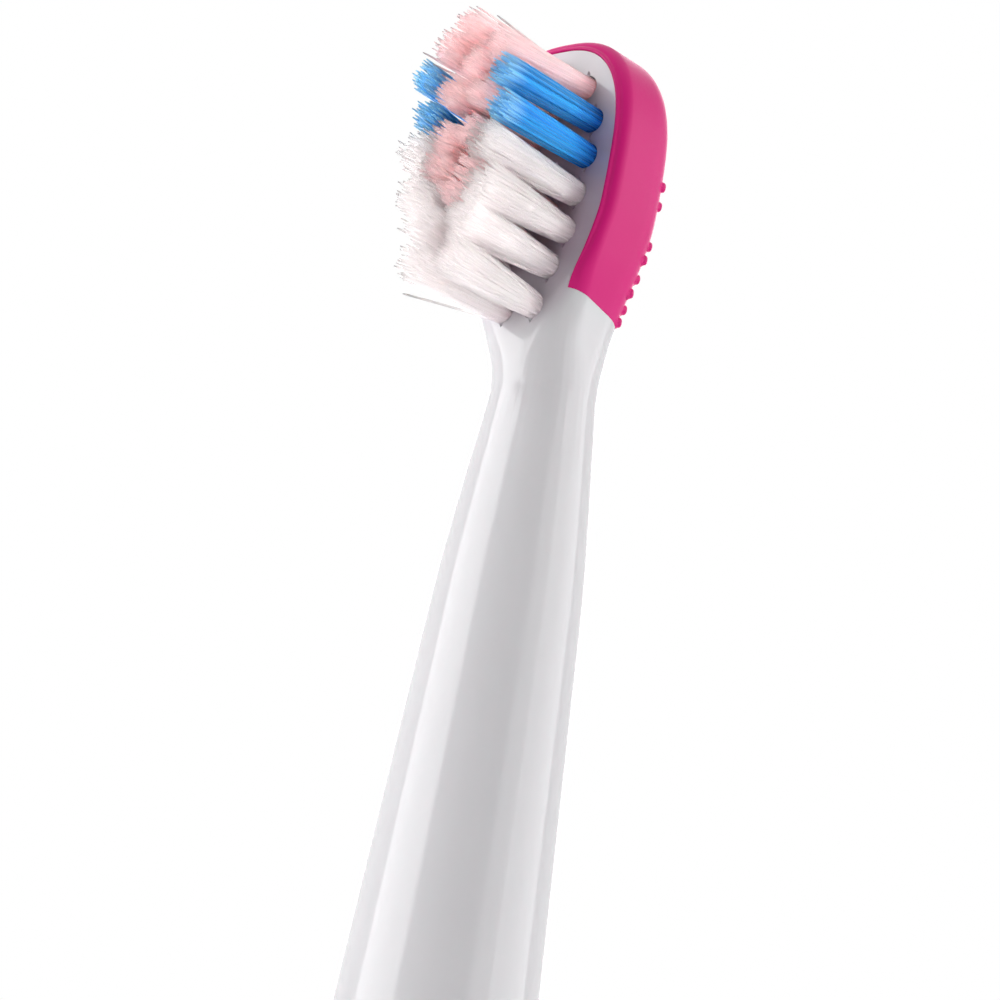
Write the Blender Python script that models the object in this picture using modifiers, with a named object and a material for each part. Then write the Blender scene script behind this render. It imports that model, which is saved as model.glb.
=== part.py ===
# Electric toothbrush: a sonic handle and a pull-off brush head, standing on its flat base.
# Metres, +Z up, bristles towards -Y. Handle heights are measured from the base, brush head
# heights from the brush head's own lower rim. The shaft turns about the Z axis.
import math

import bmesh
import bpy
from mathutils import Matrix, Vector

# Clearances
FIT = 0.0003
CUT_OVERRUN = 0.002

# Handle shell: its length and radius follow from what it holds
HANDLE_WALL = 0.0024
SHAFT_RUN = 0.032
# Height and radius along the handle, as shares of its length and of its largest radius
HANDLE_PROFILE_SHARES = (
    (0.000, 0.907), (0.014, 0.930), (0.090, 0.971), (0.240, 1.000), (0.390, 1.000),
    (0.535, 0.973), (0.655, 0.921), (0.775, 0.835), (0.865, 0.741), (0.940, 0.644),
    (0.976, 0.590), (1.000, 0.525),
)
WIDEST_SHARE = 0.390
NOSE_RING_HEIGHT = 0.0037
NOSE_RING_WALL = 0.0028
TOP_WALL = 0.0035
SEAL_HOLE_RADIUS = 0.0049
SHELL_RINGS = 17
BORE_RINGS = 8

# Base cap with the charger socket
CAP_PLATE = 0.002
CAP_CHAMFER = 0.0005
SPIGOT_HEIGHT = 0.0092
SPIGOT_WALL = 0.0026
GROOVE_DEPTH = 0.0013
GROOVE_WIDTH = 0.0022
SOCKET_RADIUS = 0.0042
SOCKET_DEPTH = 0.010
SOCKET_WALL = 0.0012

# Soft grips let into the shell
GRIP_THICKNESS = 0.001
GRIP_PROUD = 0.0002
FRONT_GRIP_HALF_WIDTH = 0.0080
FRONT_GRIP_LENGTH = 0.086
FRONT_GRIP_MARGIN = 0.014
BACK_GRIP_HALF_WIDTH = 0.0088
BACK_GRIP_LOW = 0.030
BACK_GRIP_LENGTH = 0.104
GRIP_RINGS = 9

# Power button, placed by its rise above the floor of the motor bay
BUTTON_RISE = 0.032
BUTTON_RADIUS = 0.005
BUTTON_GAP = 0.0004
BUTTON_PROUD = 0.0003
BUTTON_CAP = 0.0009
BUTTON_CROWN_SHARE = 0.70
BUTTON_TRAVEL = 0.0006
BUTTON_STEM_RADIUS = 0.001
BUTTON_FLOOR = 0.0007
STEM_SEAL_WIDTH = 0.0009
SWITCH_HALF = 0.0017
SWITCH_DEPTH = 0.0009
SWITCH_TIP = 0.0004

# Indicator
LENS_DROP = 0.020
LENS_HALF_WIDTH = 0.001
LENS_HALF_HEIGHT = 0.0035
LED_HALF = 0.0008
LED_DEPTH = 0.001

# Circuit board
BOARD_HALF_WIDTH = 0.0048
BOARD_THICKNESS = 0.001
BOARD_LIFT = 0.0025
BOARD_MARGIN = 0.004
CHIP_DEPTH = 0.0009
CONTROL_CHIP_SIZE = (0.005, 0.005)
CONTROL_CHIP_RISE = 0.038
CHARGE_CHIP_SIZE = (0.0036, 0.004)
CHARGE_CHIP_RISE = 0.020
SCREW_HEAD_RADIUS = 0.0011
SCREW_HEAD_DEPTH = 0.0006
SCREW_RADIUS = 0.0005
SCREW_LENGTH = 0.004

# Chassis and battery
CHASSIS_FLOOR = 0.0086
CHASSIS_PARTITION = 0.0081
CRADLE_WALL = 0.0015
CELL_RADIUS = 0.007
CELL_LENGTH = 0.050
CELL_EDGE = 0.0006
TERMINAL_RADIUS = 0.0028
TAB_THICKNESS = 0.0003
TAB_HALF_WIDTH = 0.002

# Drive unit
MOTOR_RADIUS = 0.00663
MOTOR_WALL = 0.0008
MOTOR_FRONT_WALL = 0.0015
MOTOR_NOSE = 0.008
MOTOR_NOSE_WALL = 0.0011
END_PLATE = 0.0012
PAD_THICKNESS = 0.0012
YOKE_BASE = 0.0014
YOKE_CORE_RADIUS = 0.0016
YOKE_CORE_LENGTH = 0.013
LEG_HALF_DEPTH = 0.0014
LEG_THICKNESS = 0.0006
LEG_PAST_ROTOR = 0.0011
RUNNING_GAP = 0.0002
BOBBIN_WALL = 0.0006
BOBBIN_FLANGE = 0.0008
BEARING_THICKNESS = 0.0015
BUSH_WALL = 0.0008
ROTOR_LENGTH = 0.018
ROTOR_LIFT = 0.0011
ROTOR_HEADROOM = 0.0076
MAGNET_THICKNESS = 0.001
MAGNET_HALF_DEPTH = 0.002
MAGNET_INSET = 0.001
DAMPER_HEIGHT = 0.0045
SHAFT_RADIUS = 0.0015
SHAFT_REACH = 0.028
SHAFT_TIP_CHAMFER = 0.0004
SHAFT_FLAT_DEPTH = 0.0003
SHAFT_FLAT_LENGTH = 0.009

# Brush head
HEAD_LIFT = 0.0006
BASE_RADIUS = 0.0073
WAIST_RADIUS = 0.0037
# Height to the waist, and how much of the widening from waist to base is there
NECK_SHARES = (
    (0.000, 1.000), (0.150, 0.875), (0.280, 0.765), (0.423, 0.645), (0.567, 0.525),
    (0.713, 0.400), (0.783, 0.320), (0.856, 0.217), (0.929, 0.105), (1.000, 0.000),
)
HEAD_LENGTH = 0.076
TIP_ROUND = 0.0095
FLARE_SPAN = 0.0157
HEAD_HALF_WIDTH = 0.00686
FACE_FRONT = 0.00405
HEAD_BACK = 0.0023
EDGE_RADIUS = 0.0009
REAR_RADIUS = 0.0027
EDGE_RINGS = 4
REAR_RINGS = 5
FACE_STEP = 0.00005
CORE_SUNK = 0.0007
HEAD_POWER = 2.6
# From waist to head centre: height, then how much of the change in half-width, front,
# back, front edge radius and rear edge radius is there
FLARE_SHARES = (
    (0.108, 0.000, 0.390, 0.155, 0.113, 0.216),
    (0.236, 0.089, 0.790, 0.437, 0.433, 0.700),
    (0.363, 0.296, 0.940, 0.789, 0.681, 1.000),
    (0.490, 0.567, 1.000, 0.965, 0.929, 1.000),
    (0.586, 0.745, 1.000, 1.000, 1.000, 1.000),
    (0.745, 0.933, 1.000, 1.000, 1.000, 1.000),
    (0.873, 0.987, 1.000, 1.000, 1.000, 1.000),
    (1.000, 1.000, 1.000, 1.000, 1.000, 1.000),
)
CORNER_SHARE = 0.98
SEAM_DROP = 0.0193
SEAM_DROP_ANGLE = 9.0
NECK_WALL = 0.0014
NECK_CAVITY_LENGTH = 0.030
SOCKET_FLANGE = 0.003
SOCKET_TUBE_WALL = 0.0011
CLIP_WIRE_RADIUS = 0.00035
CLIP_GAP_ANGLE = 60.0

# Tuft bed
FACE_WALL = 0.0012
COVER_BACK_WALL = 0.001
POCKET_INSET = 0.0016
MAT_THICKNESS = 0.001
PLUG_LIFT = 0.0012
TUFT_HOLE_RADIUS = 0.00092
TUFT_ROOT_RADIUS = 0.00058
TUFT_TIP_RADIUS = 0.00088
STRAND_RADIUS = 0.00012
STRAND_TIP_RADIUS = 0.00009
STRAND_SUNK = 0.0005
BRISTLE_LENGTH = 0.0093
TIP_STAGGER = 0.0003
TIP_TURN = 2.4
STRAND_SIDES = 3
STRAND_RING_SHARES = ((0.0, 1), (0.57, 5), (1.0, 8))
# Places of the tufts on the face: share of the half-width, and how far down from the tip as
# a share of the way to the waist
PINK_TUFT_SHARES = (
    (0.000, 0.1071), (0.394, 0.1587), (-0.394, 0.1587), (0.000, 0.2143), (0.190, 0.3056),
    (-0.190, 0.3056), (0.182, 0.4206), (-0.182, 0.4206), (0.197, 0.5278), (-0.197, 0.5278),
    (0.000, 0.6270),
)
BLUE_TUFT_SHARES = ((0.561, 0.2619), (0.561, 0.3671))
WHITE_TUFT_SHARES = (
    (0.503, 0.4762), (-0.503, 0.4762), (0.452, 0.5833), (-0.452, 0.5833),
    (0.318, 0.6825), (-0.318, 0.6825), (0.190, 0.7937), (-0.190, 0.7937),
)
# Where the tuft mats part, as shares of the way from the tip down to the waist
PINK_LOW_SHARE = 0.6587
PINK_SHOULDER_SHARE = 0.5675
PINK_TOP_SHARE = 0.2044
WHITE_TOP_SHARE = 0.4266
MAT_LOW_SHARE = 0.8274
PINK_STRIP_SHARE = 0.197
MAT_MARGIN = 0.00004

# Cleaning nubs on the back of the head cover
NUB_RADIUS = 0.00042
NUB_TIP_RADIUS = 0.00028
NUB_HEIGHT = 0.0005
NUB_PITCH = 0.00125
NUB_ROWS = 8
NUB_FIRST_SHARE = 0.7282
# In even and in odd rows: the outer nubs' lean, and places across the flat of the back
NUB_LEANS = (48.0, 38.0)
NUB_FLAT_SHARES = ((-0.45, 0.45), (0.0,))

# Sides of the round shapes
HANDLE_STEPS = 40
NECK_STEPS = 32
MOTOR_STEPS = 28
BORE_STEPS = 24
SMALL_STEPS = 20
SCREW_STEPS = 12
HOLE_STEPS = 10
NUB_STEPS = 6


def fresh_collection(name):
    collection = bpy.data.collections.new(name)
    bpy.context.scene.collection.children.link(collection)
    return collection


for old in list(bpy.data.objects):
    bpy.data.objects.remove(old, do_unlink=True)
parts = fresh_collection("electric_toothbrush")
cutters = fresh_collection("cutters")


# Materials
def material(name, colour, roughness, metallic=0.0):
    made = bpy.data.materials.new(name)
    made.use_nodes = True
    shader = made.node_tree.nodes["Principled BSDF"]
    shader.inputs["Base Color"].default_value = (*colour, 1.0)
    shader.inputs["Roughness"].default_value = roughness
    shader.inputs["Metallic"].default_value = metallic
    made.diffuse_color = (*colour, 1.0)
    return made


PALETTE = {
    "white_gloss": ((0.88, 0.88, 0.90), 0.18, 0.0),
    "pink_soft": ((0.75, 0.09, 0.28), 0.45, 0.0),
    "pink_bristle": ((0.88, 0.55, 0.52), 0.50, 0.0),
    "white_bristle": ((0.90, 0.86, 0.85), 0.50, 0.0),
    "blue_bristle": ((0.05, 0.32, 0.80), 0.45, 0.0),
    "pale_plastic": ((0.78, 0.79, 0.80), 0.40, 0.0),
    "dark_plastic": ((0.10, 0.10, 0.11), 0.45, 0.0),
    "grey_rubber": ((0.30, 0.30, 0.32), 0.70, 0.0),
    "steel": ((0.60, 0.61, 0.62), 0.28, 1.0),
    "iron": ((0.35, 0.35, 0.37), 0.45, 1.0),
    "nickel": ((0.66, 0.64, 0.60), 0.30, 1.0),
    "copper": ((0.72, 0.36, 0.18), 0.35, 1.0),
    "magnet": ((0.45, 0.46, 0.48), 0.30, 1.0),
    "bronze": ((0.50, 0.36, 0.18), 0.40, 1.0),
    "board_green": ((0.03, 0.22, 0.10), 0.40, 0.0),
    "cell_wrap": ((0.05, 0.20, 0.45), 0.35, 0.0),
    "lens_clear": ((0.85, 0.90, 0.92), 0.10, 0.0),
    "led_body": ((0.92, 0.92, 0.80), 0.30, 0.0),
}


def finish(item, finish_name):
    colour, roughness, metallic = PALETTE[finish_name]
    item.data.materials.append(material(item.name, colour, roughness, metallic))
    return item


# Modelling helpers
def place(name, mesh, collection=None):
    item = bpy.data.objects.new(name, mesh)
    (collection or parts).objects.link(item)
    if item.users_collection[0] is cutters:
        item.hide_render = True
        item.display_type = "WIRE"
    return item


def mesh_of(name, bm):
    mesh = bpy.data.meshes.new(name)
    bm.normal_update()
    bm.to_mesh(mesh)
    bm.free()
    return mesh


def smooth(item, angle=32.0):
    item.data.shade_smooth()
    item.data.set_sharp_from_angle(angle=math.radians(angle))
    return item


def turned(name, profile, steps=SMALL_STEPS, ring=False, collection=None):
    # A profile of (radius, height) points turned about Z; a ring's profile closes on itself
    bm = bmesh.new()
    points = [bm.verts.new((radius, 0.0, height)) for radius, height in profile]
    for first, second in zip(points, points[1:]):
        bm.edges.new((first, second))
    if ring:
        bm.edges.new((points[-1], points[0]))
    item = place(name, mesh_of(name, bm), collection)
    screw = item.modifiers.new("turn", "SCREW")
    screw.axis = "Z"
    screw.angle = math.tau
    screw.steps = steps
    screw.render_steps = steps
    screw.use_merge_vertices = True
    screw.merge_threshold = 0.00001
    screw.use_smooth_shade = True
    return item


def tube(name, inner, outer, low, high, steps=SMALL_STEPS, collection=None):
    profile = ((outer, high), (outer, low), (inner, low), (inner, high))
    return turned(name, profile, steps, True, collection)


def box(name, low, high, collection=None):
    bm = bmesh.new()
    low, high = Vector(low), Vector(high)
    size = Matrix.Diagonal((*(high - low), 1.0))
    bmesh.ops.create_cube(bm, size=1.0, matrix=Matrix.Translation((low + high) / 2) @ size)
    return place(name, mesh_of(name, bm), collection)


def rod_into(bm, start, end, radius, tip_radius, sides):
    # A round or few-sided rod from start to end, added to a mesh under construction
    start, end = Vector(start), Vector(end)
    along = end - start
    turn = along.to_track_quat("Z", "Y").to_matrix().to_4x4()
    bmesh.ops.create_cone(
        bm, cap_ends=True, cap_tris=False, segments=sides, radius1=radius,
        radius2=tip_radius, depth=along.length,
        matrix=Matrix.Translation((start + end) / 2) @ turn,
    )


def rods(name, runs, sides, collection=None):
    bm = bmesh.new()
    for start, end, radius, tip_radius in runs:
        rod_into(bm, start, end, radius, tip_radius, sides)
    return place(name, mesh_of(name, bm), collection)


def plate(name, outline, front, back, collection=None):
    # A flat outline of (x, height) points, filling the depth from front to back along Y
    curve = bpy.data.curves.new(name + "_outline", "CURVE")
    curve.dimensions = "2D"
    curve.fill_mode = "BOTH"
    curve.extrude = (back - front) / 2
    curve.render_resolution_u = 0
    spline = curve.splines.new("POLY")
    spline.points.add(len(outline) - 1)
    for point, (across, height) in zip(spline.points, outline):
        point.co = (across, height, 0.0, 1.0)
    spline.use_cyclic_u = True
    flat = bpy.data.objects.new(name + "_outline", curve)
    parts.objects.link(flat)
    flat.location = (0.0, (front + back) / 2, 0.0)
    flat.rotation_euler = (math.radians(90), 0.0, 0.0)
    bpy.context.view_layer.update()
    graph = bpy.context.evaluated_depsgraph_get()
    mesh = bpy.data.meshes.new_from_object(flat.evaluated_get(graph))
    bm = bmesh.new()
    bm.from_mesh(mesh)
    bmesh.ops.remove_doubles(bm, verts=bm.verts, dist=0.000001)
    bmesh.ops.transform(bm, matrix=flat.matrix_world, verts=bm.verts)
    bmesh.ops.recalc_face_normals(bm, faces=bm.faces)
    bpy.data.objects.remove(flat, do_unlink=True)
    bpy.data.meshes.remove(mesh)
    return place(name, mesh_of(name, bm), collection)


def loft(name, rings, collection=None):
    # Rings with equal point counts, joined in order and closed at both ends
    bm = bmesh.new()
    made = [[bm.verts.new(point) for point in ring] for ring in rings]
    count = len(made[0])
    for lower, upper in zip(made, made[1:]):
        for i in range(count):
            j = (i + 1) % count
            bm.faces.new((lower[i], lower[j], upper[j], upper[i]))
    bm.faces.new(made[0])
    bm.faces.new(made[-1])
    bmesh.ops.recalc_face_normals(bm, faces=bm.faces)
    return place(name, mesh_of(name, bm), collection)


def boolean(item, other, operation="DIFFERENCE"):
    cut = item.modifiers.new(other.name, "BOOLEAN")
    cut.operation = operation
    cut.solver = "EXACT"
    cut.object = other
    return item


def on_axis(empty_name, where, items):
    # The empty marks a joint; the meshes are drawn in world coordinates
    empty = bpy.data.objects.new(empty_name, None)
    parts.objects.link(empty)
    empty.location = where
    empty.empty_display_size = HANDLE_RADIUS
    for item in items:
        item.parent = empty
        item.location = -Vector(where)


def smooth_value(table, share):
    # A smooth curve through the table's (share, value) rows
    rows = list(table)
    if share <= rows[0][0]:
        return rows[0][1]
    if share >= rows[-1][0]:
        return rows[-1][1]
    k = max(i for i, row in enumerate(rows) if row[0] <= share)
    k = min(k, len(rows) - 2)

    def slope(i):
        before, after = rows[max(i - 1, 0)], rows[min(i + 1, len(rows) - 1)]
        return (after[1] - before[1]) / (after[0] - before[0])

    width = rows[k + 1][0] - rows[k][0]
    t = (share - rows[k][0]) / width
    start, end = rows[k][1], rows[k + 1][1]
    return (
        start * (2 * t**3 - 3 * t**2 + 1) + slope(k) * width * (t**3 - 2 * t**2 + t)
        + end * (3 * t**2 - 2 * t**3) + slope(k + 1) * width * (t**3 - t**2)
    )


def stepped(low, high, count):
    return [low + (high - low) * i / (count - 1) for i in range(count)]


# Handle sizes that follow from the driving dimensions, stacked up from the base
SPIGOT_TOP = CAP_PLATE + SPIGOT_HEIGHT
CHASSIS_LOW = SPIGOT_TOP + FIT
CELL_BAY_LOW = CHASSIS_LOW + CHASSIS_FLOOR
CELL_BAY_HIGH = CELL_BAY_LOW + CELL_LENGTH + 2 * TAB_THICKNESS + 4 * FIT
MOTOR_FLOOR = CELL_BAY_HIGH + CHASSIS_PARTITION
PLATE_LOW = MOTOR_FLOOR + PAD_THICKNESS + 2 * FIT
FRAME_LOW = PLATE_LOW + END_PLATE + FIT
YOKE_LOW = FRAME_LOW + FIT
YOKE_TOP = YOKE_LOW + YOKE_BASE
CORE_TOP = YOKE_TOP + YOKE_CORE_LENGTH
BEARING_LOW = CORE_TOP + FIT
ROTOR_LOW = BEARING_LOW + BEARING_THICKNESS + ROTOR_LIFT
ROTOR_TOP = ROTOR_LOW + ROTOR_LENGTH
FRAME_TOP = ROTOR_TOP + ROTOR_HEADROOM + MOTOR_FRONT_WALL
HANDLE_LENGTH = FRAME_TOP + MOTOR_NOSE + SHAFT_RUN
BOARD_LOW = CHASSIS_LOW + BOARD_LIFT
BUTTON_HEIGHT = MOTOR_FLOOR + BUTTON_RISE
LENS_HEIGHT = BUTTON_HEIGHT - LENS_DROP
BOARD_TOP = BUTTON_HEIGHT + BOARD_MARGIN
FRONT_GRIP_HIGH = BUTTON_HEIGHT + FRONT_GRIP_MARGIN
FRONT_GRIP_LOW = FRONT_GRIP_HIGH - FRONT_GRIP_LENGTH
# The board lies in front of the motor, and the bore takes the board's upper corners
MOTOR_BAY = MOTOR_RADIUS + FIT
CHASSIS_FRONT = -MOTOR_BAY - FIT
BOARD_BACK = CHASSIS_FRONT - FIT
BOARD_FRONT = BOARD_BACK - BOARD_THICKNESS
TOP_BORE = math.hypot(BOARD_FRONT, BOARD_HALF_WIDTH) + FIT
TOP_SHARE = smooth_value(HANDLE_PROFILE_SHARES, BOARD_TOP / HANDLE_LENGTH)
HANDLE_RADIUS = (TOP_BORE + HANDLE_WALL) / TOP_SHARE
BORE_RADIUS = HANDLE_RADIUS - HANDLE_WALL
SHELL_LOW = CAP_PLATE + FIT
SHELL_TOP = HANDLE_LENGTH - NOSE_RING_HEIGHT - FIT


def handle_radius(height):
    return HANDLE_RADIUS * smooth_value(HANDLE_PROFILE_SHARES, height / HANDLE_LENGTH)


def bore_radius(height):
    # Straight up to the widest place, so that the chassis goes in from below
    if height < HANDLE_LENGTH * WIDEST_SHARE:
        return BORE_RADIUS
    return handle_radius(height) - HANDLE_WALL


def stadium(half_width, low, high, arc_points=7):
    # A slot outline with round ends
    points = []
    for centre, first in ((high - half_width, 0.0), (low + half_width, math.pi)):
        for i in range(arc_points):
            angle = first + math.pi * i / (arc_points - 1)
            points.append((half_width * math.cos(angle), centre + half_width * math.sin(angle)))
    return points


def skin(name, low, high, outside, inside, collection=None):
    # A ring of the handle's own shape between two offsets from its surface
    heights = stepped(low, high, GRIP_RINGS)
    outer = [(handle_radius(z) + outside, z) for z in reversed(heights)]
    inner = [(handle_radius(z) - inside, z) for z in heights]
    return turned(name, outer + inner, HANDLE_STEPS, True, collection)


def grip(name, half_width, low, high, side):
    # A soft inlay and the pocket for it; side is -1 at the front and 1 at the back
    far = side * (HANDLE_RADIUS + CUT_OVERRUN)
    front, back = min(0.0, far), max(0.0, far)
    inlay = skin(name, low - CUT_OVERRUN, high + CUT_OVERRUN, GRIP_PROUD, GRIP_THICKNESS)
    outline = plate(name + "_outline", stadium(half_width, low, high), front, back, cutters)
    boolean(inlay, outline, "INTERSECT")
    room = skin(
        name + "_pocket", low - CUT_OVERRUN, high + CUT_OVERRUN, CUT_OVERRUN,
        GRIP_THICKNESS + FIT, cutters,
    )
    wider = stadium(half_width + FIT, low - FIT, high + FIT)
    boolean(room, plate(name + "_room", wider, front, back, cutters), "INTERSECT")
    return finish(inlay, "pink_soft"), room


def across(name, radius, height, front, back, collection=None):
    # A round rod or cutter along Y
    run = ((0.0, front, height), (0.0, back, height), radius, radius)
    return rods(name, [run], SMALL_STEPS, collection)


def make_handle_shell():
    outer = [(handle_radius(z), z) for z in reversed(stepped(SHELL_LOW, SHELL_TOP, SHELL_RINGS))]
    bore_top = SHELL_TOP - TOP_WALL
    tapering = stepped(HANDLE_LENGTH * WIDEST_SHARE, bore_top, BORE_RINGS)
    inner = [(bore_radius(z), z) for z in [SHELL_LOW] + tapering]
    hole = [(SEAL_HOLE_RADIUS, bore_top), (SEAL_HOLE_RADIUS, SHELL_TOP)]
    return finish(turned("handle_shell", outer + inner + hole, HANDLE_STEPS, True), "white_gloss")


def make_nose_ring():
    low, high = HANDLE_LENGTH - NOSE_RING_HEIGHT, HANDLE_LENGTH
    foot, rim = handle_radius(low), handle_radius(high)
    inner = rim - NOSE_RING_WALL
    profile = ((rim - CAP_CHAMFER, high), (rim, high - CAP_CHAMFER), (foot, low), (inner, low))
    return finish(turned("nose_ring", profile + ((inner, high),), HANDLE_STEPS, True), "pale_plastic")


def make_shaft_seal():
    hole = SHAFT_RADIUS + FIT
    collar = SEAL_HOLE_RADIUS - FIT
    under = SHELL_TOP - TOP_WALL - FIT
    flange = bore_radius(under) - FIT
    top = SHELL_TOP + NOSE_RING_HEIGHT / 2
    profile = (
        (hole + SOCKET_TUBE_WALL, top), (collar, SHELL_TOP), (collar, under), (flange, under),
        (flange, under - CAP_PLATE), (hole, under - CAP_PLATE), (hole, top),
    )
    return finish(turned("shaft_seal", profile, SMALL_STEPS, True), "grey_rubber")


def make_base_cap():
    boss = SOCKET_RADIUS + SOCKET_WALL
    roof = SOCKET_DEPTH + SOCKET_WALL
    spigot = BORE_RADIUS - FIT
    spigot_in = spigot - SPIGOT_WALL
    groove_low = CAP_PLATE + (SPIGOT_HEIGHT - GROOVE_WIDTH) / 2
    groove_high = groove_low + GROOVE_WIDTH
    rim, foot = handle_radius(CAP_PLATE), handle_radius(0.0)
    profile = (
        (0.0, roof), (boss, roof), (boss, CAP_PLATE), (spigot_in, CAP_PLATE),
        (spigot_in, SPIGOT_TOP), (spigot, SPIGOT_TOP), (spigot, groove_high),
        (spigot - GROOVE_DEPTH, groove_high), (spigot - GROOVE_DEPTH, groove_low),
        (spigot, groove_low), (spigot, CAP_PLATE), (rim, CAP_PLATE), (foot, CAP_CHAMFER),
        (foot - CAP_CHAMFER, 0.0), (SOCKET_RADIUS, 0.0), (SOCKET_RADIUS, SOCKET_DEPTH),
        (0.0, SOCKET_DEPTH),
    )
    finish(turned("base_cap", profile, HANDLE_STEPS), "pale_plastic")
    seal = tube(
        "base_seal", spigot - GROOVE_DEPTH + FIT, spigot + FIT / 3,
        groove_low + FIT, groove_high - FIT, HANDLE_STEPS,
    )
    finish(seal, "grey_rubber")
    coil = tube(
        "charging_coil", boss + FIT, spigot_in - FIT, CAP_PLATE + FIT, SPIGOT_TOP - CAP_PLATE,
        HANDLE_STEPS,
    )
    finish(coil, "copper")


def make_board():
    low = (-BOARD_HALF_WIDTH, BOARD_FRONT, BOARD_LOW)
    return finish(box("circuit_board", low, (BOARD_HALF_WIDTH, BOARD_BACK, BOARD_TOP)), "board_green")


def mounted(name, width, tall, height, depth, finish_name):
    # A component soldered to the front of the board
    near = BOARD_FRONT - FIT
    item = box(
        name, (-width / 2, near - depth, height - tall / 2), (width / 2, near, height + tall / 2)
    )
    return finish(item, finish_name)


def make_screw(name, height, board, chassis):
    # A small screw through the board into the chassis, with its holes
    head_back = BOARD_FRONT - FIT
    tip = head_back + SCREW_LENGTH
    shank = (0.0, head_back - SCREW_HEAD_DEPTH / 2, height), (0.0, tip, height)
    head = (0.0, head_back - SCREW_HEAD_DEPTH, height), (0.0, head_back, height)
    screw = rods(name, [(*head, SCREW_HEAD_RADIUS, SCREW_HEAD_RADIUS)], SCREW_STEPS)
    stem = rods(name + "_shank", [(*shank, SCREW_RADIUS, SCREW_RADIUS)], SCREW_STEPS, cutters)
    boolean(screw, stem, "UNION")
    run = (0.0, BOARD_FRONT - CUT_OVERRUN, height), (0.0, tip + FIT, height)
    bore = SCREW_RADIUS + FIT
    hole = rods(name + "_hole", [(*run, bore, bore)], SCREW_STEPS, cutters)
    boolean(board, hole)
    boolean(chassis, hole)
    return finish(screw, "steel")


def make_chassis(cell_y):
    # A cradle for cell and motor, flat at the front where the board lies
    heights = (
        CHASSIS_LOW, HANDLE_LENGTH * WIDEST_SHARE, MOTOR_FLOOR, (MOTOR_FLOOR + BOARD_TOP) / 2, BOARD_TOP
    )
    outer = [(bore_radius(z) - FIT, z) for z in reversed(heights)]
    body = turned("chassis", [(0.0, BOARD_TOP)] + outer + [(0.0, CHASSIS_LOW)], HANDLE_STEPS)
    reach = HANDLE_RADIUS
    past = BOARD_TOP + reach
    flat = box("chassis_flat", (-reach, -reach, -reach), (reach, CHASSIS_FRONT, past), cutters)
    boolean(body, flat)
    bay = CELL_RADIUS + FIT
    slot = box(
        "cell_slot", (-bay, CHASSIS_FRONT - reach, CELL_BAY_LOW), (bay, cell_y, CELL_BAY_HIGH), cutters
    )
    run = (0.0, cell_y, CELL_BAY_LOW), (0.0, cell_y, CELL_BAY_HIGH)
    round_end = rods("cell_bay", [(*run, bay, bay)], MOTOR_STEPS, cutters)
    boolean(body, slot)
    boolean(body, round_end)
    run = (0.0, 0.0, MOTOR_FLOOR), (0.0, 0.0, past)
    bay_cut = rods("motor_bay", [(*run, MOTOR_BAY, MOTOR_BAY)], MOTOR_STEPS, cutters)
    # Turned a third of a side, so that no corner of it meets an edge of the body's top
    bay_cut.rotation_euler = (0.0, 0.0, math.tau / MOTOR_STEPS / 3)
    boolean(body, bay_cut)
    gate = BOARD_HALF_WIDTH - 2 * BOARD_THICKNESS
    window = box(
        "motor_gate", (-gate, CHASSIS_FRONT - reach, MOTOR_FLOOR), (gate, -MOTOR_RADIUS / 2, past),
        cutters,
    )
    boolean(body, window)
    return finish(body, "dark_plastic")


def make_battery(cell_y):
    tab_low = CELL_BAY_LOW + FIT
    low = tab_low + TAB_THICKNESS + FIT
    high = low + CELL_LENGTH
    edge = CELL_RADIUS - CELL_EDGE
    cell = turned(
        "battery_cell",
        (
            (0.0, high), (TERMINAL_RADIUS, high), (TERMINAL_RADIUS, high - CELL_EDGE),
            (edge, high - CELL_EDGE), (CELL_RADIUS, high - 2 * CELL_EDGE),
            (CELL_RADIUS, low + CELL_EDGE), (edge, low), (0.0, low),
        ),
        MOTOR_STEPS,
    )
    cell.location = (0.0, cell_y, 0.0)
    finish(cell, "cell_wrap")
    for name, foot in (("battery_tab_bottom", tab_low), ("battery_tab_top", high + FIT)):
        tab = box(
            name, (-TAB_HALF_WIDTH, BOARD_BACK + FIT, foot),
            (TAB_HALF_WIDTH, cell_y + TAB_HALF_WIDTH, foot + TAB_THICKNESS),
        )
        finish(tab, "nickel")


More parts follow.
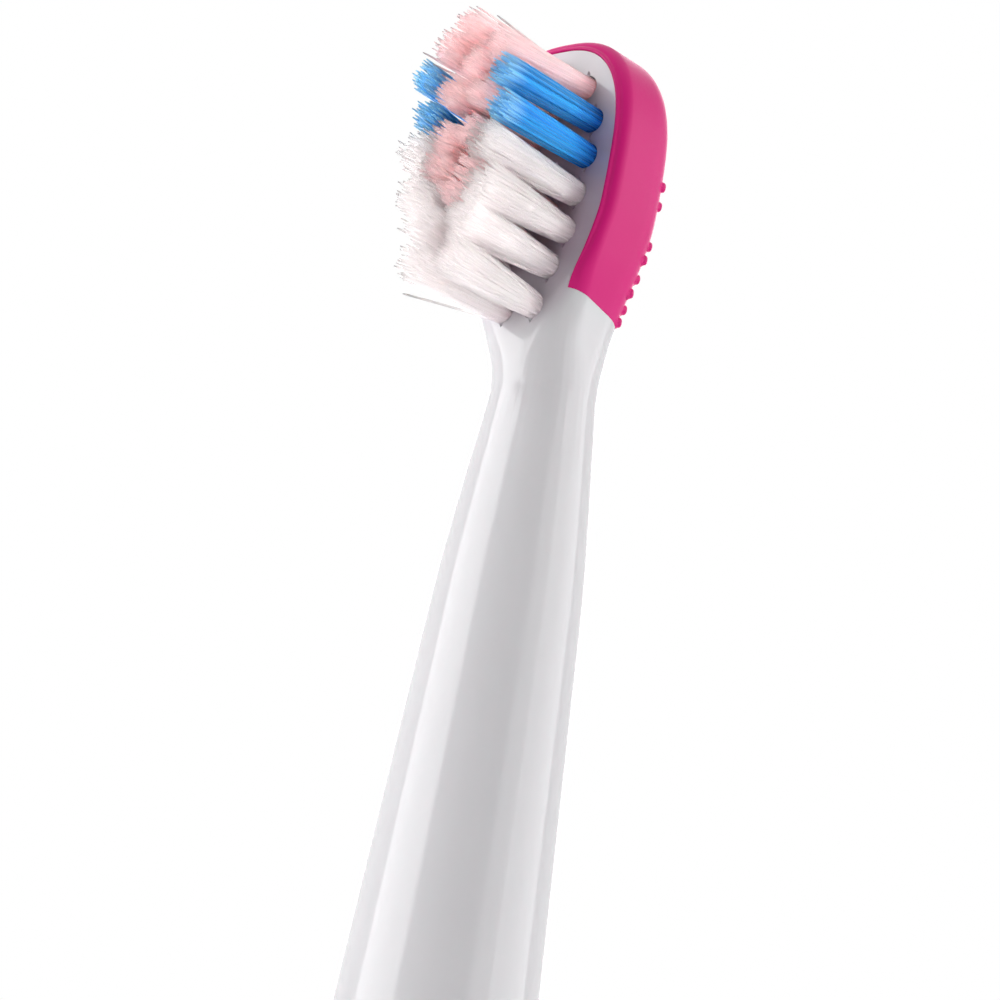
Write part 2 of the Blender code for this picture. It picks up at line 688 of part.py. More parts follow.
def make_motor():
    # The fixed half of the drive, and the rotor that turns with the shaft
    inner = MOTOR_RADIUS - MOTOR_WALL
    hole = SHAFT_RADIUS + FIT
    bush = hole + BUSH_WALL
    nose_in = bush + FIT
    nose_out = nose_in + MOTOR_NOSE_WALL
    nose_top = FRAME_TOP + MOTOR_NOSE
    front_wall = FRAME_TOP - MOTOR_FRONT_WALL
    pad_low = MOTOR_FLOOR + FIT
    pad = tube(
        "rear_damper", hole, MOTOR_RADIUS - FIT, pad_low, pad_low + PAD_THICKNESS, MOTOR_STEPS
    )
    finish(pad, "grey_rubber")
    plate_top = PLATE_LOW + END_PLATE
    end = turned(
        "motor_end_plate",
        ((0.0, plate_top), (MOTOR_RADIUS, plate_top), (MOTOR_RADIUS, PLATE_LOW), (0.0, PLATE_LOW)),
        MOTOR_STEPS,
    )
    finish(end, "steel")
    frame = turned(
        "motor_frame",
        (
            (nose_out, nose_top), (nose_out, FRAME_TOP), (MOTOR_RADIUS, FRAME_TOP),
            (MOTOR_RADIUS, FRAME_LOW), (inner, FRAME_LOW), (inner, front_wall),
            (nose_in, front_wall), (nose_in, nose_top),
        ),
        MOTOR_STEPS, True,
    )
    finish(frame, "steel")

    # Iron yoke: a base, a core for the coil, and a leg on each side of the rotor
    leg_out = math.sqrt((inner - RUNNING_GAP) ** 2 - LEG_HALF_DEPTH**2)
    leg_in = leg_out - LEG_THICKNESS
    yoke = turned(
        "stator_yoke",
        (
            (0.0, CORE_TOP), (YOKE_CORE_RADIUS, CORE_TOP), (YOKE_CORE_RADIUS, YOKE_TOP),
            (leg_out, YOKE_TOP), (leg_out, YOKE_LOW), (0.0, YOKE_LOW),
        ),
        MOTOR_STEPS,
    )
    for side, label in ((-1, "left"), (1, "right")):
        near, far = sorted((side * leg_in, side * (leg_out - RUNNING_GAP / 2)))
        leg = box(
            "yoke_leg_" + label, (near, -LEG_HALF_DEPTH, (YOKE_LOW + YOKE_TOP) / 2),
            (far, LEG_HALF_DEPTH, ROTOR_TOP + LEG_PAST_ROTOR), cutters,
        )
        boolean(yoke, leg, "UNION")
    finish(yoke, "iron")

    # Coil on its bobbin
    spool_in = YOKE_CORE_RADIUS + FIT
    spool_out = spool_in + BOBBIN_WALL
    flange = leg_in - FIT
    spool_low = YOKE_TOP + FIT
    coil_low, coil_high = spool_low + BOBBIN_FLANGE, CORE_TOP - BOBBIN_FLANGE
    bobbin = turned(
        "coil_bobbin",
        (
            (flange, CORE_TOP), (flange, coil_high), (spool_out, coil_high), (spool_out, coil_low),
            (flange, coil_low), (flange, spool_low), (spool_in, spool_low), (spool_in, CORE_TOP),
        ),
        SMALL_STEPS, True,
    )
    finish(bobbin, "pale_plastic")
    coil = tube("drive_coil", spool_out + FIT, flange - FIT, coil_low + FIT, coil_high - FIT)
    finish(coil, "copper")

    # Bearings
    bearing_top = BEARING_LOW + BEARING_THICKNESS
    finish(tube("rear_bearing", hole, flange, BEARING_LOW, bearing_top), "bronze")
    finish(tube("front_bearing", hole, bush, FRAME_TOP + FIT, nose_top), "bronze")

    # Rotor
    sweep = leg_in - RUNNING_GAP
    magnet_out = math.sqrt(sweep**2 - MAGNET_HALF_DEPTH**2)
    magnet_in = magnet_out - MAGNET_THICKNESS
    holder = tube("rotor_holder", hole, magnet_in - FIT, ROTOR_LOW, ROTOR_TOP)
    finish(holder, "pale_plastic")
    turning = [holder]
    for side, label in ((-1, "left"), (1, "right")):
        near, far = sorted((side * magnet_in, side * magnet_out))
        magnet = box(
            "magnet_" + label, (near, -MAGNET_HALF_DEPTH, ROTOR_LOW + MAGNET_INSET),
            (far, MAGNET_HALF_DEPTH, ROTOR_TOP - MAGNET_INSET),
        )
        turning.append(finish(magnet, "magnet"))
    return turning


def make_drive_shaft():
    foot = BEARING_LOW
    top = HANDLE_LENGTH + SHAFT_REACH
    shaft = turned(
        "drive_shaft",
        (
            (0.0, top), (SHAFT_RADIUS - SHAFT_TIP_CHAMFER, top), (SHAFT_RADIUS, top - SHAFT_TIP_CHAMFER),
            (SHAFT_RADIUS, foot), (0.0, foot),
        ),
    )
    reach = SHAFT_RADIUS + CUT_OVERRUN
    flat = box(
        "shaft_flat", (-reach, -reach, top - SHAFT_FLAT_LENGTH),
        (reach, SHAFT_FLAT_DEPTH - SHAFT_RADIUS, top + CUT_OVERRUN), cutters,
    )
    return finish(boolean(shaft, flat), "steel")


def make_front_damper():
    high = FRAME_TOP - MOTOR_FRONT_WALL
    low = max(high - DAMPER_HEIGHT, BOARD_TOP + FIT)
    damper = tube(
        "front_damper", MOTOR_RADIUS + FIT, bore_radius(high) - FIT, low, high, MOTOR_STEPS
    )
    return finish(damper, "grey_rubber")


def make_button(shell, front_grip):
    surface = -handle_radius(BUTTON_HEIGHT) - GRIP_PROUD
    front = surface - BUTTON_PROUD
    cap_back = front + BUTTON_CAP
    floor = cap_back + BUTTON_TRAVEL + FIT
    switch_front = BOARD_FRONT - FIT - SWITCH_DEPTH
    tip_front = switch_front - SWITCH_TIP
    stem_back = tip_front - BUTTON_TRAVEL - FIT / 3
    well = across(
        "button_well", BUTTON_RADIUS + BUTTON_GAP, BUTTON_HEIGHT, front - CUT_OVERRUN, floor, cutters
    )
    boolean(shell, well)
    boolean(front_grip, well)
    seal_in = BUTTON_STEM_RADIUS + FIT
    seal_out = seal_in + STEM_SEAL_WIDTH
    passage = across(
        "stem_passage", seal_out + FIT, BUTTON_HEIGHT, front - CUT_OVERRUN, BOARD_FRONT, cutters
    )
    boolean(shell, passage)
    cap_profile = (
        (0.0, BUTTON_CAP), (BUTTON_RADIUS * BUTTON_CROWN_SHARE, BUTTON_CAP - BUTTON_GAP / 4),
        (BUTTON_RADIUS - BUTTON_GAP, BUTTON_CAP - BUTTON_GAP),
        (BUTTON_RADIUS, BUTTON_CAP - 2 * BUTTON_GAP), (BUTTON_RADIUS, 0.0),
        (BUTTON_STEM_RADIUS, 0.0), (BUTTON_STEM_RADIUS, cap_back - stem_back),
        (0.0, cap_back - stem_back),
    )
    button = turned("power_button", cap_profile, MOTOR_STEPS)
    seal_front = floor - STEM_SEAL_WIDTH / 3
    seal = tube("button_seal", seal_in, seal_out, 0.0, BUTTON_FLOOR)
    facing = Matrix.Rotation(math.radians(90), 4, "X")
    button.rotation_euler = facing.to_euler()
    seal.rotation_euler = facing.to_euler()
    seal.location = (0.0, seal_front + BUTTON_FLOOR, BUTTON_HEIGHT)
    finish(button, "white_gloss")
    finish(seal, "grey_rubber")
    near = BOARD_FRONT - FIT
    switch = box(
        "power_switch", (-SWITCH_HALF, near - SWITCH_DEPTH, BUTTON_HEIGHT - SWITCH_HALF),
        (SWITCH_HALF, near, BUTTON_HEIGHT + SWITCH_HALF),
    )
    actuator = across(
        "switch_tip", SWITCH_HALF / 2, BUTTON_HEIGHT, tip_front, near - SWITCH_DEPTH / 2, cutters
    )
    finish(boolean(switch, actuator, "UNION"), "dark_plastic")
    slide = bpy.data.objects.new("power_press_axis", None)
    parts.objects.link(slide)
    slide.empty_display_size = BUTTON_RADIUS
    slide.location = (0.0, cap_back, BUTTON_HEIGHT)
    button.parent = slide


def make_indicator(shell, front_grip):
    front = -handle_radius(LENS_HEIGHT) - GRIP_PROUD
    led_front = BOARD_FRONT - FIT - LED_DEPTH
    outline = stadium(LENS_HALF_WIDTH, LENS_HEIGHT - LENS_HALF_HEIGHT, LENS_HEIGHT + LENS_HALF_HEIGHT)
    lens = plate("indicator_lens", outline, front, led_front - FIT)
    wider = stadium(
        LENS_HALF_WIDTH + FIT, LENS_HEIGHT - LENS_HALF_HEIGHT - FIT, LENS_HEIGHT + LENS_HALF_HEIGHT + FIT
    )
    window = plate("lens_window", wider, front - CUT_OVERRUN, BOARD_FRONT, cutters)
    boolean(shell, window)
    boolean(front_grip, window)
    finish(lens, "lens_clear")
    led_size = 2 * LED_HALF
    mounted("status_led", led_size, led_size, LENS_HEIGHT, LED_DEPTH, "led_body")


def make_handle():
    shell = make_handle_shell()
    make_nose_ring()
    make_shaft_seal()
    front_grip, front_room = grip(
        "front_grip", FRONT_GRIP_HALF_WIDTH, FRONT_GRIP_LOW, FRONT_GRIP_HIGH, -1
    )
    back_high = BACK_GRIP_LOW + BACK_GRIP_LENGTH
    back_room = grip("back_grip", BACK_GRIP_HALF_WIDTH, BACK_GRIP_LOW, back_high, 1)[1]
    boolean(shell, front_room)
    boolean(shell, back_room)
    make_base_cap()

    cell_y = BORE_RADIUS - CRADLE_WALL - CELL_RADIUS - 2 * FIT
    chassis = make_chassis(cell_y)
    make_battery(cell_y)
    board = make_board()
    chip_height = BOARD_LOW + CONTROL_CHIP_RISE
    mounted("control_chip", *CONTROL_CHIP_SIZE, chip_height, CHIP_DEPTH, "dark_plastic")
    chip_height = BOARD_LOW + CHARGE_CHIP_RISE
    mounted("charge_chip", *CHARGE_CHIP_SIZE, chip_height, CHIP_DEPTH, "dark_plastic")
    make_screw("board_screw_bottom", (BOARD_LOW + CELL_BAY_LOW) / 2, board, chassis)
    make_screw("board_screw_top", (CELL_BAY_HIGH + MOTOR_FLOOR) / 2, board, chassis)
    make_button(shell, front_grip)
    make_indicator(shell, front_grip)
    turning = make_motor()
    make_front_damper()
    turning.append(make_drive_shaft())
    on_axis("brush_drive_axis", (0.0, 0.0, HANDLE_LENGTH), turning)


# Brush head places that follow from the driving dimensions
HEAD_FOOT = HANDLE_LENGTH + HEAD_LIFT
HEAD_CENTRE = HEAD_LENGTH - TIP_ROUND
WAIST_HEIGHT = HEAD_CENTRE - FLARE_SPAN
SEAM_HEIGHT = HEAD_LENGTH - SEAM_DROP


def neck_radius(height):
    widening = smooth_value(NECK_SHARES, height / WAIST_HEIGHT)
    return WAIST_RADIUS + (BASE_RADIUS - WAIST_RADIUS) * widening


def flare(column, head_value, height):
    # A head size at a height between the waist, where it is the waist's radius, and the centre
    table = [(0.0, 0.0)] + [(row[0], row[column]) for row in FLARE_SHARES]
    share = smooth_value(table, (height - WAIST_HEIGHT) / FLARE_SPAN)
    return WAIST_RADIUS + (head_value - WAIST_RADIUS) * share


def head_half_width(height, inset=0.0):
    # Half the outline's width: the flare below the head's centre, a full round end above it
    if height <= HEAD_CENTRE:
        return flare(1, HEAD_HALF_WIDTH, height) - inset
    rise = (height - HEAD_CENTRE) / (TIP_ROUND - inset)
    return (HEAD_HALF_WIDTH - inset) * max(0.0, 1.0 - rise**HEAD_POWER) ** (1 / HEAD_POWER)


def head_outline(inset, low, side_rows=6, round_rows=8):
    # The head's outline seen from the front, counterclockwise from its lower right corner
    right = [(head_half_width(z, inset), z) for z in stepped(low, HEAD_CENTRE, side_rows)]
    top = TIP_ROUND - inset
    for i in range(1, round_rows):
        angle = math.pi / 2 * i / round_rows
        height = HEAD_CENTRE + top * math.sin(angle) ** (2 / HEAD_POWER)
        right.append((head_half_width(height, inset), height))
    left = [(-x, z) for x, z in reversed(right)]
    return right + [(0.0, HEAD_CENTRE + top)] + left


def down(share):
    # The height at a share of the way from the tip down to the waist
    return HEAD_LENGTH - share * (TIP_ROUND + FLARE_SPAN)


def section(height, width, front, back, edge, rear):
    # A rounded rectangle: edge and rear are the corner radii at the front and at the back
    corners = (
        (width - rear, back - rear, rear, 0.0), (rear - width, back - rear, rear, 90.0),
        (edge - width, edge - front, edge, 180.0), (width - edge, edge - front, edge, 270.0),
    )
    points = []
    per_corner = NECK_STEPS // 4
    for centre_x, centre_y, radius, first in corners:
        for i in range(per_corner):
            angle = math.radians(first + 90.0 * i / (per_corner - 1))
            x = centre_x + radius * math.cos(angle)
            y = centre_y + radius * math.sin(angle)
            points.append((x, y, height))
    return points


def make_neck_solid():
    rings = []
    for share, _ in NECK_SHARES:
        # The corners of a full circle would meet, so they are drawn just short of it
        height = share * WAIST_HEIGHT
        radius = neck_radius(height)
        corner = radius * CORNER_SHARE
        rings.append(section(height, radius, radius, radius, corner, corner))
    for row in FLARE_SHARES:
        height = WAIST_HEIGHT + FLARE_SPAN * row[0]
        rings.append(section(
            height, head_half_width(height), flare(2, FACE_FRONT - FACE_STEP, height),
            flare(3, HEAD_BACK, height), flare(4, EDGE_RADIUS, height), flare(5, REAR_RADIUS, height),
        ))
        if height > SEAM_HEIGHT + FACE_FRONT / 2:
            break
    return loft("neck_shell", rings)


def seam_side(name, above, lift, collection):
    # Everything on one side of the slanting seam between neck and head cover
    reach = HEAD_LENGTH
    low, high = (0.0, reach) if above else (-reach, 0.0)
    block = box(name, (-reach, -reach, low), (reach, reach, high), collection)
    slant = Matrix.Rotation(math.radians(-SEAM_DROP_ANGLE), 4, "X")
    block.data.transform(Matrix.Translation((0.0, 0.0, SEAM_HEIGHT + lift)) @ slant)
    return block


def make_neck_shell():
    neck = make_neck_solid()
    boolean(neck, seam_side("above_seam", True, 0.0, cutters))
    # The bore runs up from the lower rim and narrows with the neck
    heights = stepped(-CUT_OVERRUN, NECK_CAVITY_LENGTH, 5)
    side = [(neck_radius(max(z, 0.0)) - NECK_WALL, z) for z in reversed(heights)]
    profile = [(0.0, side[0][1])] + side + [(0.0, side[-1][1])]
    boolean(neck, turned("neck_cavity", profile, BORE_STEPS, False, cutters))
    core_low = SEAM_HEIGHT - CORE_SUNK
    core_inset = EDGE_RADIUS + FIT / 2
    core_back = HEAD_BACK - COVER_BACK_WALL - FIT
    core = plate(
        "head_core", head_outline(core_inset, core_low), -FACE_FRONT, core_back, cutters
    )
    boolean(neck, core, "UNION")
    wall_back = FACE_WALL - FACE_FRONT
    slot_back = wall_back + MAT_THICKNESS + 2 * FIT
    pocket_low = down(MAT_LOW_SHARE) - FIT
    plug_low = SEAM_HEIGHT + PLUG_LIFT - FIT
    holes = []
    for x, z in tuft_places(PINK_TUFT_SHARES + WHITE_TUFT_SHARES + both_sides(BLUE_TUFT_SHARES)):
        run = (x, -FACE_FRONT - CUT_OVERRUN, z), (x, wall_back + FIT, z)
        holes.append((*run, TUFT_HOLE_RADIUS, TUFT_HOLE_RADIUS))
    slot = plate(
        "mat_slot", head_outline(POCKET_INSET, pocket_low), wall_back, slot_back, cutters
    )
    pocket = plate(
        "plug_pocket", head_outline(POCKET_INSET + FIT / 2, plug_low), wall_back + FIT / 2,
        HEAD_BACK + CUT_OVERRUN, cutters,
    )
    boolean(neck, slot)
    boolean(neck, pocket)
    boolean(neck, rods("tuft_holes", holes, HOLE_STEPS, cutters))
    finish(neck, "white_gloss")

    plug = plate(
        "head_insert", head_outline(POCKET_INSET + 1.5 * FIT, plug_low + FIT), slot_back, core_back
    )
    finish(plug, "pale_plastic")


def make_head_cover():
    # Outlines stacked from front to back: rounded front edge, straight side, rounded rear edge
    low = WAIST_HEIGHT
    layers = [
        (EDGE_RADIUS * (1 - math.sin(angle)), EDGE_RADIUS * (1 - math.cos(angle)) - FACE_FRONT)
        for angle in stepped(0.0, math.pi / 2, EDGE_RINGS)
    ]
    layers += [
        (REAR_RADIUS * (1 - math.cos(angle)), HEAD_BACK - REAR_RADIUS * (1 - math.sin(angle)))
        for angle in stepped(0.0, math.pi / 2, REAR_RINGS)
    ]
    rings = [
        [(x, depth, z) for x, z in head_outline(inset, low)] for inset, depth in layers
    ]
    cover = loft("head_cover", rings)
    boolean(cover, make_nubs(), "UNION")
    boolean(cover, seam_side("below_seam", False, FIT, cutters))
    opening_inset = EDGE_RADIUS - FIT / 2
    opening = plate(
        "core_opening", head_outline(opening_inset, low - CUT_OVERRUN),
        -FACE_FRONT - CUT_OVERRUN, HEAD_BACK - COVER_BACK_WALL, cutters,
    )
    boolean(cover, opening)
    finish(cover, "pink_soft")


def make_nubs():
    # Short blunt nubs in staggered rows, square to the back and to its rounded edges
    runs = []
    for row in range(NUB_ROWS):
        height = down(NUB_FIRST_SHARE) + NUB_PITCH * row
        flat_half = head_half_width(height) - REAR_RADIUS
        feet = [(share * flat_half, HEAD_BACK, 0.0) for share in NUB_FLAT_SHARES[row % 2]]
        lean = math.radians(NUB_LEANS[row % 2])
        edge = flat_half + REAR_RADIUS * math.sin(lean)
        depth = HEAD_BACK - REAR_RADIUS + REAR_RADIUS * math.cos(lean)
        feet += [(edge, depth, lean), (-edge, depth, -lean)]
        for x, y, turn in feet:
            out = Vector((math.sin(turn), math.cos(turn), 0.0))
            foot = Vector((x, y, height)) - out * FIT
            runs.append((foot, foot + out * (FIT + NUB_HEIGHT), NUB_RADIUS, NUB_TIP_RADIUS))
    return rods("cover_nubs", runs, NUB_STEPS, cutters)


# Bristles: each colour's strands stand in a mat that lies behind the face
def both_sides(places):
    return tuple(places) + tuple((-x, z) for x, z in places)


def tuft_places(shares):
    return [(x * HEAD_HALF_WIDTH, down(z)) for x, z in shares]


def strand_runs(places):
    foot = FACE_WALL - FACE_FRONT + FIT + STRAND_SUNK
    tip = -FACE_FRONT - BRISTLE_LENGTH
    runs = []
    for x, z in places:
        count = 0
        for share, strands in STRAND_RING_SHARES:
            for i in range(strands):
                angle = math.tau * (i + share / 2) / strands
                out_x, out_z = share * math.cos(angle), share * math.sin(angle)
                count += 1
                end = tip + TIP_STAGGER * (1 + math.sin(TIP_TURN * count))
                start = (x + out_x * TUFT_ROOT_RADIUS, foot, z + out_z * TUFT_ROOT_RADIUS)
                top = (x + out_x * TUFT_TIP_RADIUS, end, z + out_z * TUFT_TIP_RADIUS)
                runs.append((start, top, STRAND_RADIUS, STRAND_TIP_RADIUS))
    return runs


def make_tufts(name, outline, shares, finish_name):
    front = FACE_WALL - FACE_FRONT + FIT
    mat = plate(name, outline, front, front + MAT_THICKNESS)
    strands = rods(name + "_strands", strand_runs(tuft_places(shares)), STRAND_SIDES, cutters)
    boolean(mat, strands, "UNION")
    finish(mat, finish_name)


def mirrored(half):
    # Closes a half outline, given upwards on the right, with its mirror image
    left = [(-x, z) for x, z in reversed(half) if x > 0.0]
    return half + left


def mat_edge(low, high, rows):
    inset = POCKET_INSET + FIT
    return [(head_half_width(z, inset), z) for z in stepped(low, high, rows)]


def make_bristles():
    inset = POCKET_INSET + FIT
    tail = TUFT_ROOT_RADIUS + STRAND_RADIUS + FIT
    strip = PINK_STRIP_SHARE * HEAD_HALF_WIDTH + TUFT_ROOT_RADIUS + STRAND_RADIUS + MAT_MARGIN
    pink_low, pink_shoulder, pink_top = map(down, (PINK_LOW_SHARE, PINK_SHOULDER_SHARE, PINK_TOP_SHARE))
    white_top, mat_low = down(WHITE_TOP_SHARE), down(MAT_LOW_SHARE)
    crown = HEAD_LENGTH - inset
    # The shoulders drop by one gap towards the middle
    pink_half = [
        (tail, pink_low), (tail, pink_shoulder - FIT), (strip, pink_shoulder), (strip, pink_top - FIT)
    ]
    steps = [pink_top + (crown - pink_top) * math.sin(math.pi / 2 * i / 6) for i in range(6)]
    pink_half += [(head_half_width(z, inset), z) for z in steps]
    pink_half.append((0.0, crown))
    make_tufts("pink_tufts", mirrored(pink_half), PINK_TUFT_SHARES, "pink_bristle")

    outer = mat_edge(mat_low, white_top, 6)
    white_half = outer + [
        (strip + FIT, white_top), (strip + FIT, pink_shoulder - FIT),
        (tail + FIT, pink_shoulder - 2 * FIT), (tail + FIT, pink_low - FIT),
    ]
    make_tufts("white_tufts", mirrored(white_half), WHITE_TUFT_SHARES, "white_bristle")

    blue_low, blue_top = white_top + FIT, pink_top - FIT
    blue = [(strip + FIT, blue_low)] + mat_edge(blue_low, blue_top, 4)
    blue.append((strip + FIT, blue_top - FIT))
    for side, label in ((-1, "left"), (1, "right")):
        outline = [(side * x, z) for x, z in blue]
        places = [(side * x, z) for x, z in BLUE_TUFT_SHARES]
        make_tufts("blue_tufts_" + label, outline, places, "blue_bristle")


def make_shaft_socket():
    # A liner that rides on the shaft, held in the neck by two flanges
    low, high = SOCKET_FLANGE, NECK_CAVITY_LENGTH - FIT
    bore = SHAFT_RADIUS + FIT
    shaft_top = SHAFT_REACH - HEAD_LIFT + FIT
    tube_out = bore + SOCKET_TUBE_WALL

    def seat(height):
        return neck_radius(height) - NECK_WALL - FIT

    profile = (
        (0.0, high), (seat(high), high), (seat(high - SOCKET_FLANGE), high - SOCKET_FLANGE),
        (tube_out, high - SOCKET_FLANGE), (tube_out, low + SOCKET_FLANGE),
        (seat(low + SOCKET_FLANGE), low + SOCKET_FLANGE), (seat(low + SOCKET_FLANGE), low),
        (bore, low), (bore, shaft_top), (0.0, shaft_top),
    )
    finish(turned("shaft_socket", profile), "pale_plastic")

    # An open ring of spring wire round the liner
    ring = tube_out + FIT + CLIP_WIRE_RADIUS
    curve = bpy.data.curves.new("clip_path", "CURVE")
    curve.dimensions = "3D"
    curve.bevel_depth = CLIP_WIRE_RADIUS
    curve.bevel_resolution = 1
    curve.use_fill_caps = True
    curve.render_resolution_u = 0
    spline = curve.splines.new("POLY")
    rows = 15
    spline.points.add(rows - 1)
    for i, point in enumerate(spline.points):
        angle = math.radians(CLIP_GAP_ANGLE / 2 + (360.0 - CLIP_GAP_ANGLE) * i / (rows - 1))
        height = low + SOCKET_FLANGE + CLIP_WIRE_RADIUS + FIT
        point.co = (ring * math.cos(angle), ring * math.sin(angle), height, 1.0)
    clip = bpy.data.objects.new("socket_clip", curve)
    parts.objects.link(clip)
    return finish(clip, "steel")


def make_brush_head():
    # Drawn about its own lower rim, then seated on the handle as a whole
    handle_items = set(bpy.data.objects)
    make_neck_shell()
    make_head_cover()
    make_bristles()
    make_shaft_socket()
    drawn = [item for item in bpy.data.objects if item not in handle_items]
    seat = bpy.data.objects.new("brush_head_axis", None)
    parts.objects.link(seat)
    seat.location = (0.0, 0.0, HEAD_FOOT)
    seat.empty_display_size = BASE_RADIUS
    for item in drawn:
        item.parent = seat


make_handle()
make_brush_head()
for piece in parts.objects:
    if piece.type == "MESH" and not any(m.type == "SCREW" for m in piece.modifiers):
        smooth(piece)
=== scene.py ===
# Electric toothbrush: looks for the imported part. Metres, bristles towards -Y, up is +Z.
import math
import random

import bmesh
import bpy
from mathutils import Matrix, Vector


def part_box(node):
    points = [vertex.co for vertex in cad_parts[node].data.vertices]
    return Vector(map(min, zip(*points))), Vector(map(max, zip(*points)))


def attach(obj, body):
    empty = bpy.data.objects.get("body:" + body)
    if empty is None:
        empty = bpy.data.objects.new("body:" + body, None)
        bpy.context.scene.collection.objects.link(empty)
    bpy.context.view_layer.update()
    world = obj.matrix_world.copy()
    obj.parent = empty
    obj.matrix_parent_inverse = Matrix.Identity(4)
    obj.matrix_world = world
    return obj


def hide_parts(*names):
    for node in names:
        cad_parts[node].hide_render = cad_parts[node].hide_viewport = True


print("loading the frame")
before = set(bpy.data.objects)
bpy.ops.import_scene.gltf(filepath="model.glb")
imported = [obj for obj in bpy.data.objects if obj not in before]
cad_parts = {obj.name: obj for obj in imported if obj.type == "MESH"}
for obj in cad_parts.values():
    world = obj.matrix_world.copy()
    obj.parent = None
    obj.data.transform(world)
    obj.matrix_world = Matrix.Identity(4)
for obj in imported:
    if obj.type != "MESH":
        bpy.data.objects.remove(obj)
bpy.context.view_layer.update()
scene = bpy.context.scene
scene.view_settings.view_transform = "Standard"
mm = 0.001


def newObject(name, data):
    made = bpy.data.objects.new(name, data)
    scene.collection.objects.link(made)
    return made


def direction(azimuth, elevation):
    # Unit vector away from the object; azimuth 0 is its front and 90 its right side
    a, e = math.radians(azimuth), math.radians(elevation)
    return Vector((math.sin(a) * math.cos(e), -math.cos(a) * math.cos(e), math.sin(e)))


# Camera, at the photograph's angle
print("camera and lights")
cameraSetup = {
    "azimuth": 43.0, "elevation": -19.8, "lean": 10.0,
    "target": (0.0, 0.0, 0.2091), "distance": 0.56,
    "widthAtTarget": 0.06752, "shift": (-0.01796, 0.04108), "sensor": 36, "clipEnd": 10,
}


def addCamera():
    setup = cameraSetup
    back = direction(setup["azimuth"], setup["elevation"])
    lean = math.radians(setup["lean"])
    level = Vector((0, 0, 1)).cross(back).normalized()
    upright = back.cross(level)
    right = math.cos(lean) * level + math.sin(lean) * upright
    up = -math.sin(lean) * level + math.cos(lean) * upright
    data = bpy.data.cameras.new("photoCamera")
    camera = newObject("photoCamera", data)
    matrix = Matrix((right, up, back)).transposed().to_4x4()
    matrix.translation = Vector(setup["target"]) + back * setup["distance"]
    camera.matrix_world = matrix
    data.sensor_width = setup["sensor"]
    data.lens = setup["sensor"] * setup["distance"] / setup["widthAtTarget"]
    data.shift_x, data.shift_y = setup["shift"]
    data.clip_end = setup["clipEnd"]
    scene.camera = camera


# Lamps: azimuth and elevation of each seen from the object, distance, width, height, watts
lampSetup = {
    "leftSoftbox": (-32, 13, 0.75, 0.69, 0.80, 4.55),
    "rightSoftbox": (128, 13, 0.75, 0.68, 0.80, 2.8),
    "rightFill": (90, 13, 0.75, 0.35, 0.80, 0.8),
    "backSoftbox": (223, 20, 0.80, 0.60, 0.80, 3.4),
    "topSoftbox": (60, 80, 0.75, 0.60, 0.60, 0.55),
}
lampTarget = (0.0, 0.0, 0.17)


def addLamps():
    for name, (azimuth, elevation, distance, width, height, watts) in lampSetup.items():
        away = direction(azimuth, elevation)
        data = bpy.data.lights.new(name, "AREA")
        data.shape = "RECTANGLE"
        data.size, data.size_y = width, height
        data.energy = watts
        lamp = newObject(name, data)
        lamp.location = Vector(lampTarget) + away * distance
        lamp.rotation_euler = away.to_track_quat("Z", "Y").to_euler()


# Node helpers
def feed(socket, value):
    # A socket takes another one's output, a constant or a colour
    if isinstance(value, bpy.types.NodeSocket):
        socket.id_data.links.new(value, socket)
    elif socket.type == "RGBA":
        socket.default_value = (*value, 1.0)
    else:
        socket.default_value = value


def setInputs(node, **values):
    # The node's sockets by name, with _ for a space
    for name, value in values.items():
        feed(node.inputs[name.replace("_", " ")], value)


def add(tree, kind, **values):
    node = tree.nodes.new("ShaderNode" + kind)
    setInputs(node, **values)
    return node


def maths(tree, operation, first, second):
    node = add(tree, "Math")
    node.operation = operation
    feed(node.inputs[0], first)
    feed(node.inputs[1], second)
    return node.outputs[0]


def mixColours(tree, first, second, factor):
    node = add(tree, "Mix")
    node.data_type = "RGBA"
    setInputs(node, A=first, B=second, Factor=factor)
    return node.outputs["Result"]


def spread(tree, value, low, high, start=0.3, end=0.7):
    # Takes a value between start and end to one between low and high
    node = add(tree, "MapRange", Value=value, From_Min=start, From_Max=end, To_Min=low, To_Max=high)
    return node.outputs["Result"]


def bump(tree, height, strength, distance):
    node = add(tree, "Bump", Strength=strength, Distance=distance, Height=height)
    return node.outputs["Normal"]


def placed(tree, **values):
    # Object coordinates, stretched or turned
    where = add(tree, "TexCoord").outputs["Object"]
    return add(tree, "Mapping", Vector=where, **values).outputs["Vector"]


def newMaterial(name):
    made = bpy.data.materials.new(name)
    made.use_nodes = True
    return made, made.node_tree, made.node_tree.nodes["Principled BSDF"]


def surfaceVariation():
    # Broad unevenness and fine grain, shared by all the moulded and metal finishes
    name = "surfaceVariation"
    if name in bpy.data.node_groups:
        return bpy.data.node_groups[name]
    group = bpy.data.node_groups.new(name, "ShaderNodeTree")
    face = group.interface
    face.new_socket("Vector", in_out="INPUT", socket_type="NodeSocketVector")
    for way, labels in (("INPUT", ("Broad Scale", "Grain Scale")), ("OUTPUT", ("Broad", "Grain"))):
        for label in labels:
            face.new_socket(label, in_out=way, socket_type="NodeSocketFloat")
    start, end = group.nodes.new("NodeGroupInput"), group.nodes.new("NodeGroupOutput")
    vector = start.outputs["Vector"]
    for label, detail in (("Broad", 3.0), ("Grain", 5.0)):
        scale = start.outputs[label + " Scale"]
        noise = add(group, "TexNoise", Detail=detail, Vector=vector, Scale=scale)
        feed(end.inputs[label], noise.outputs["Fac"])
    return group


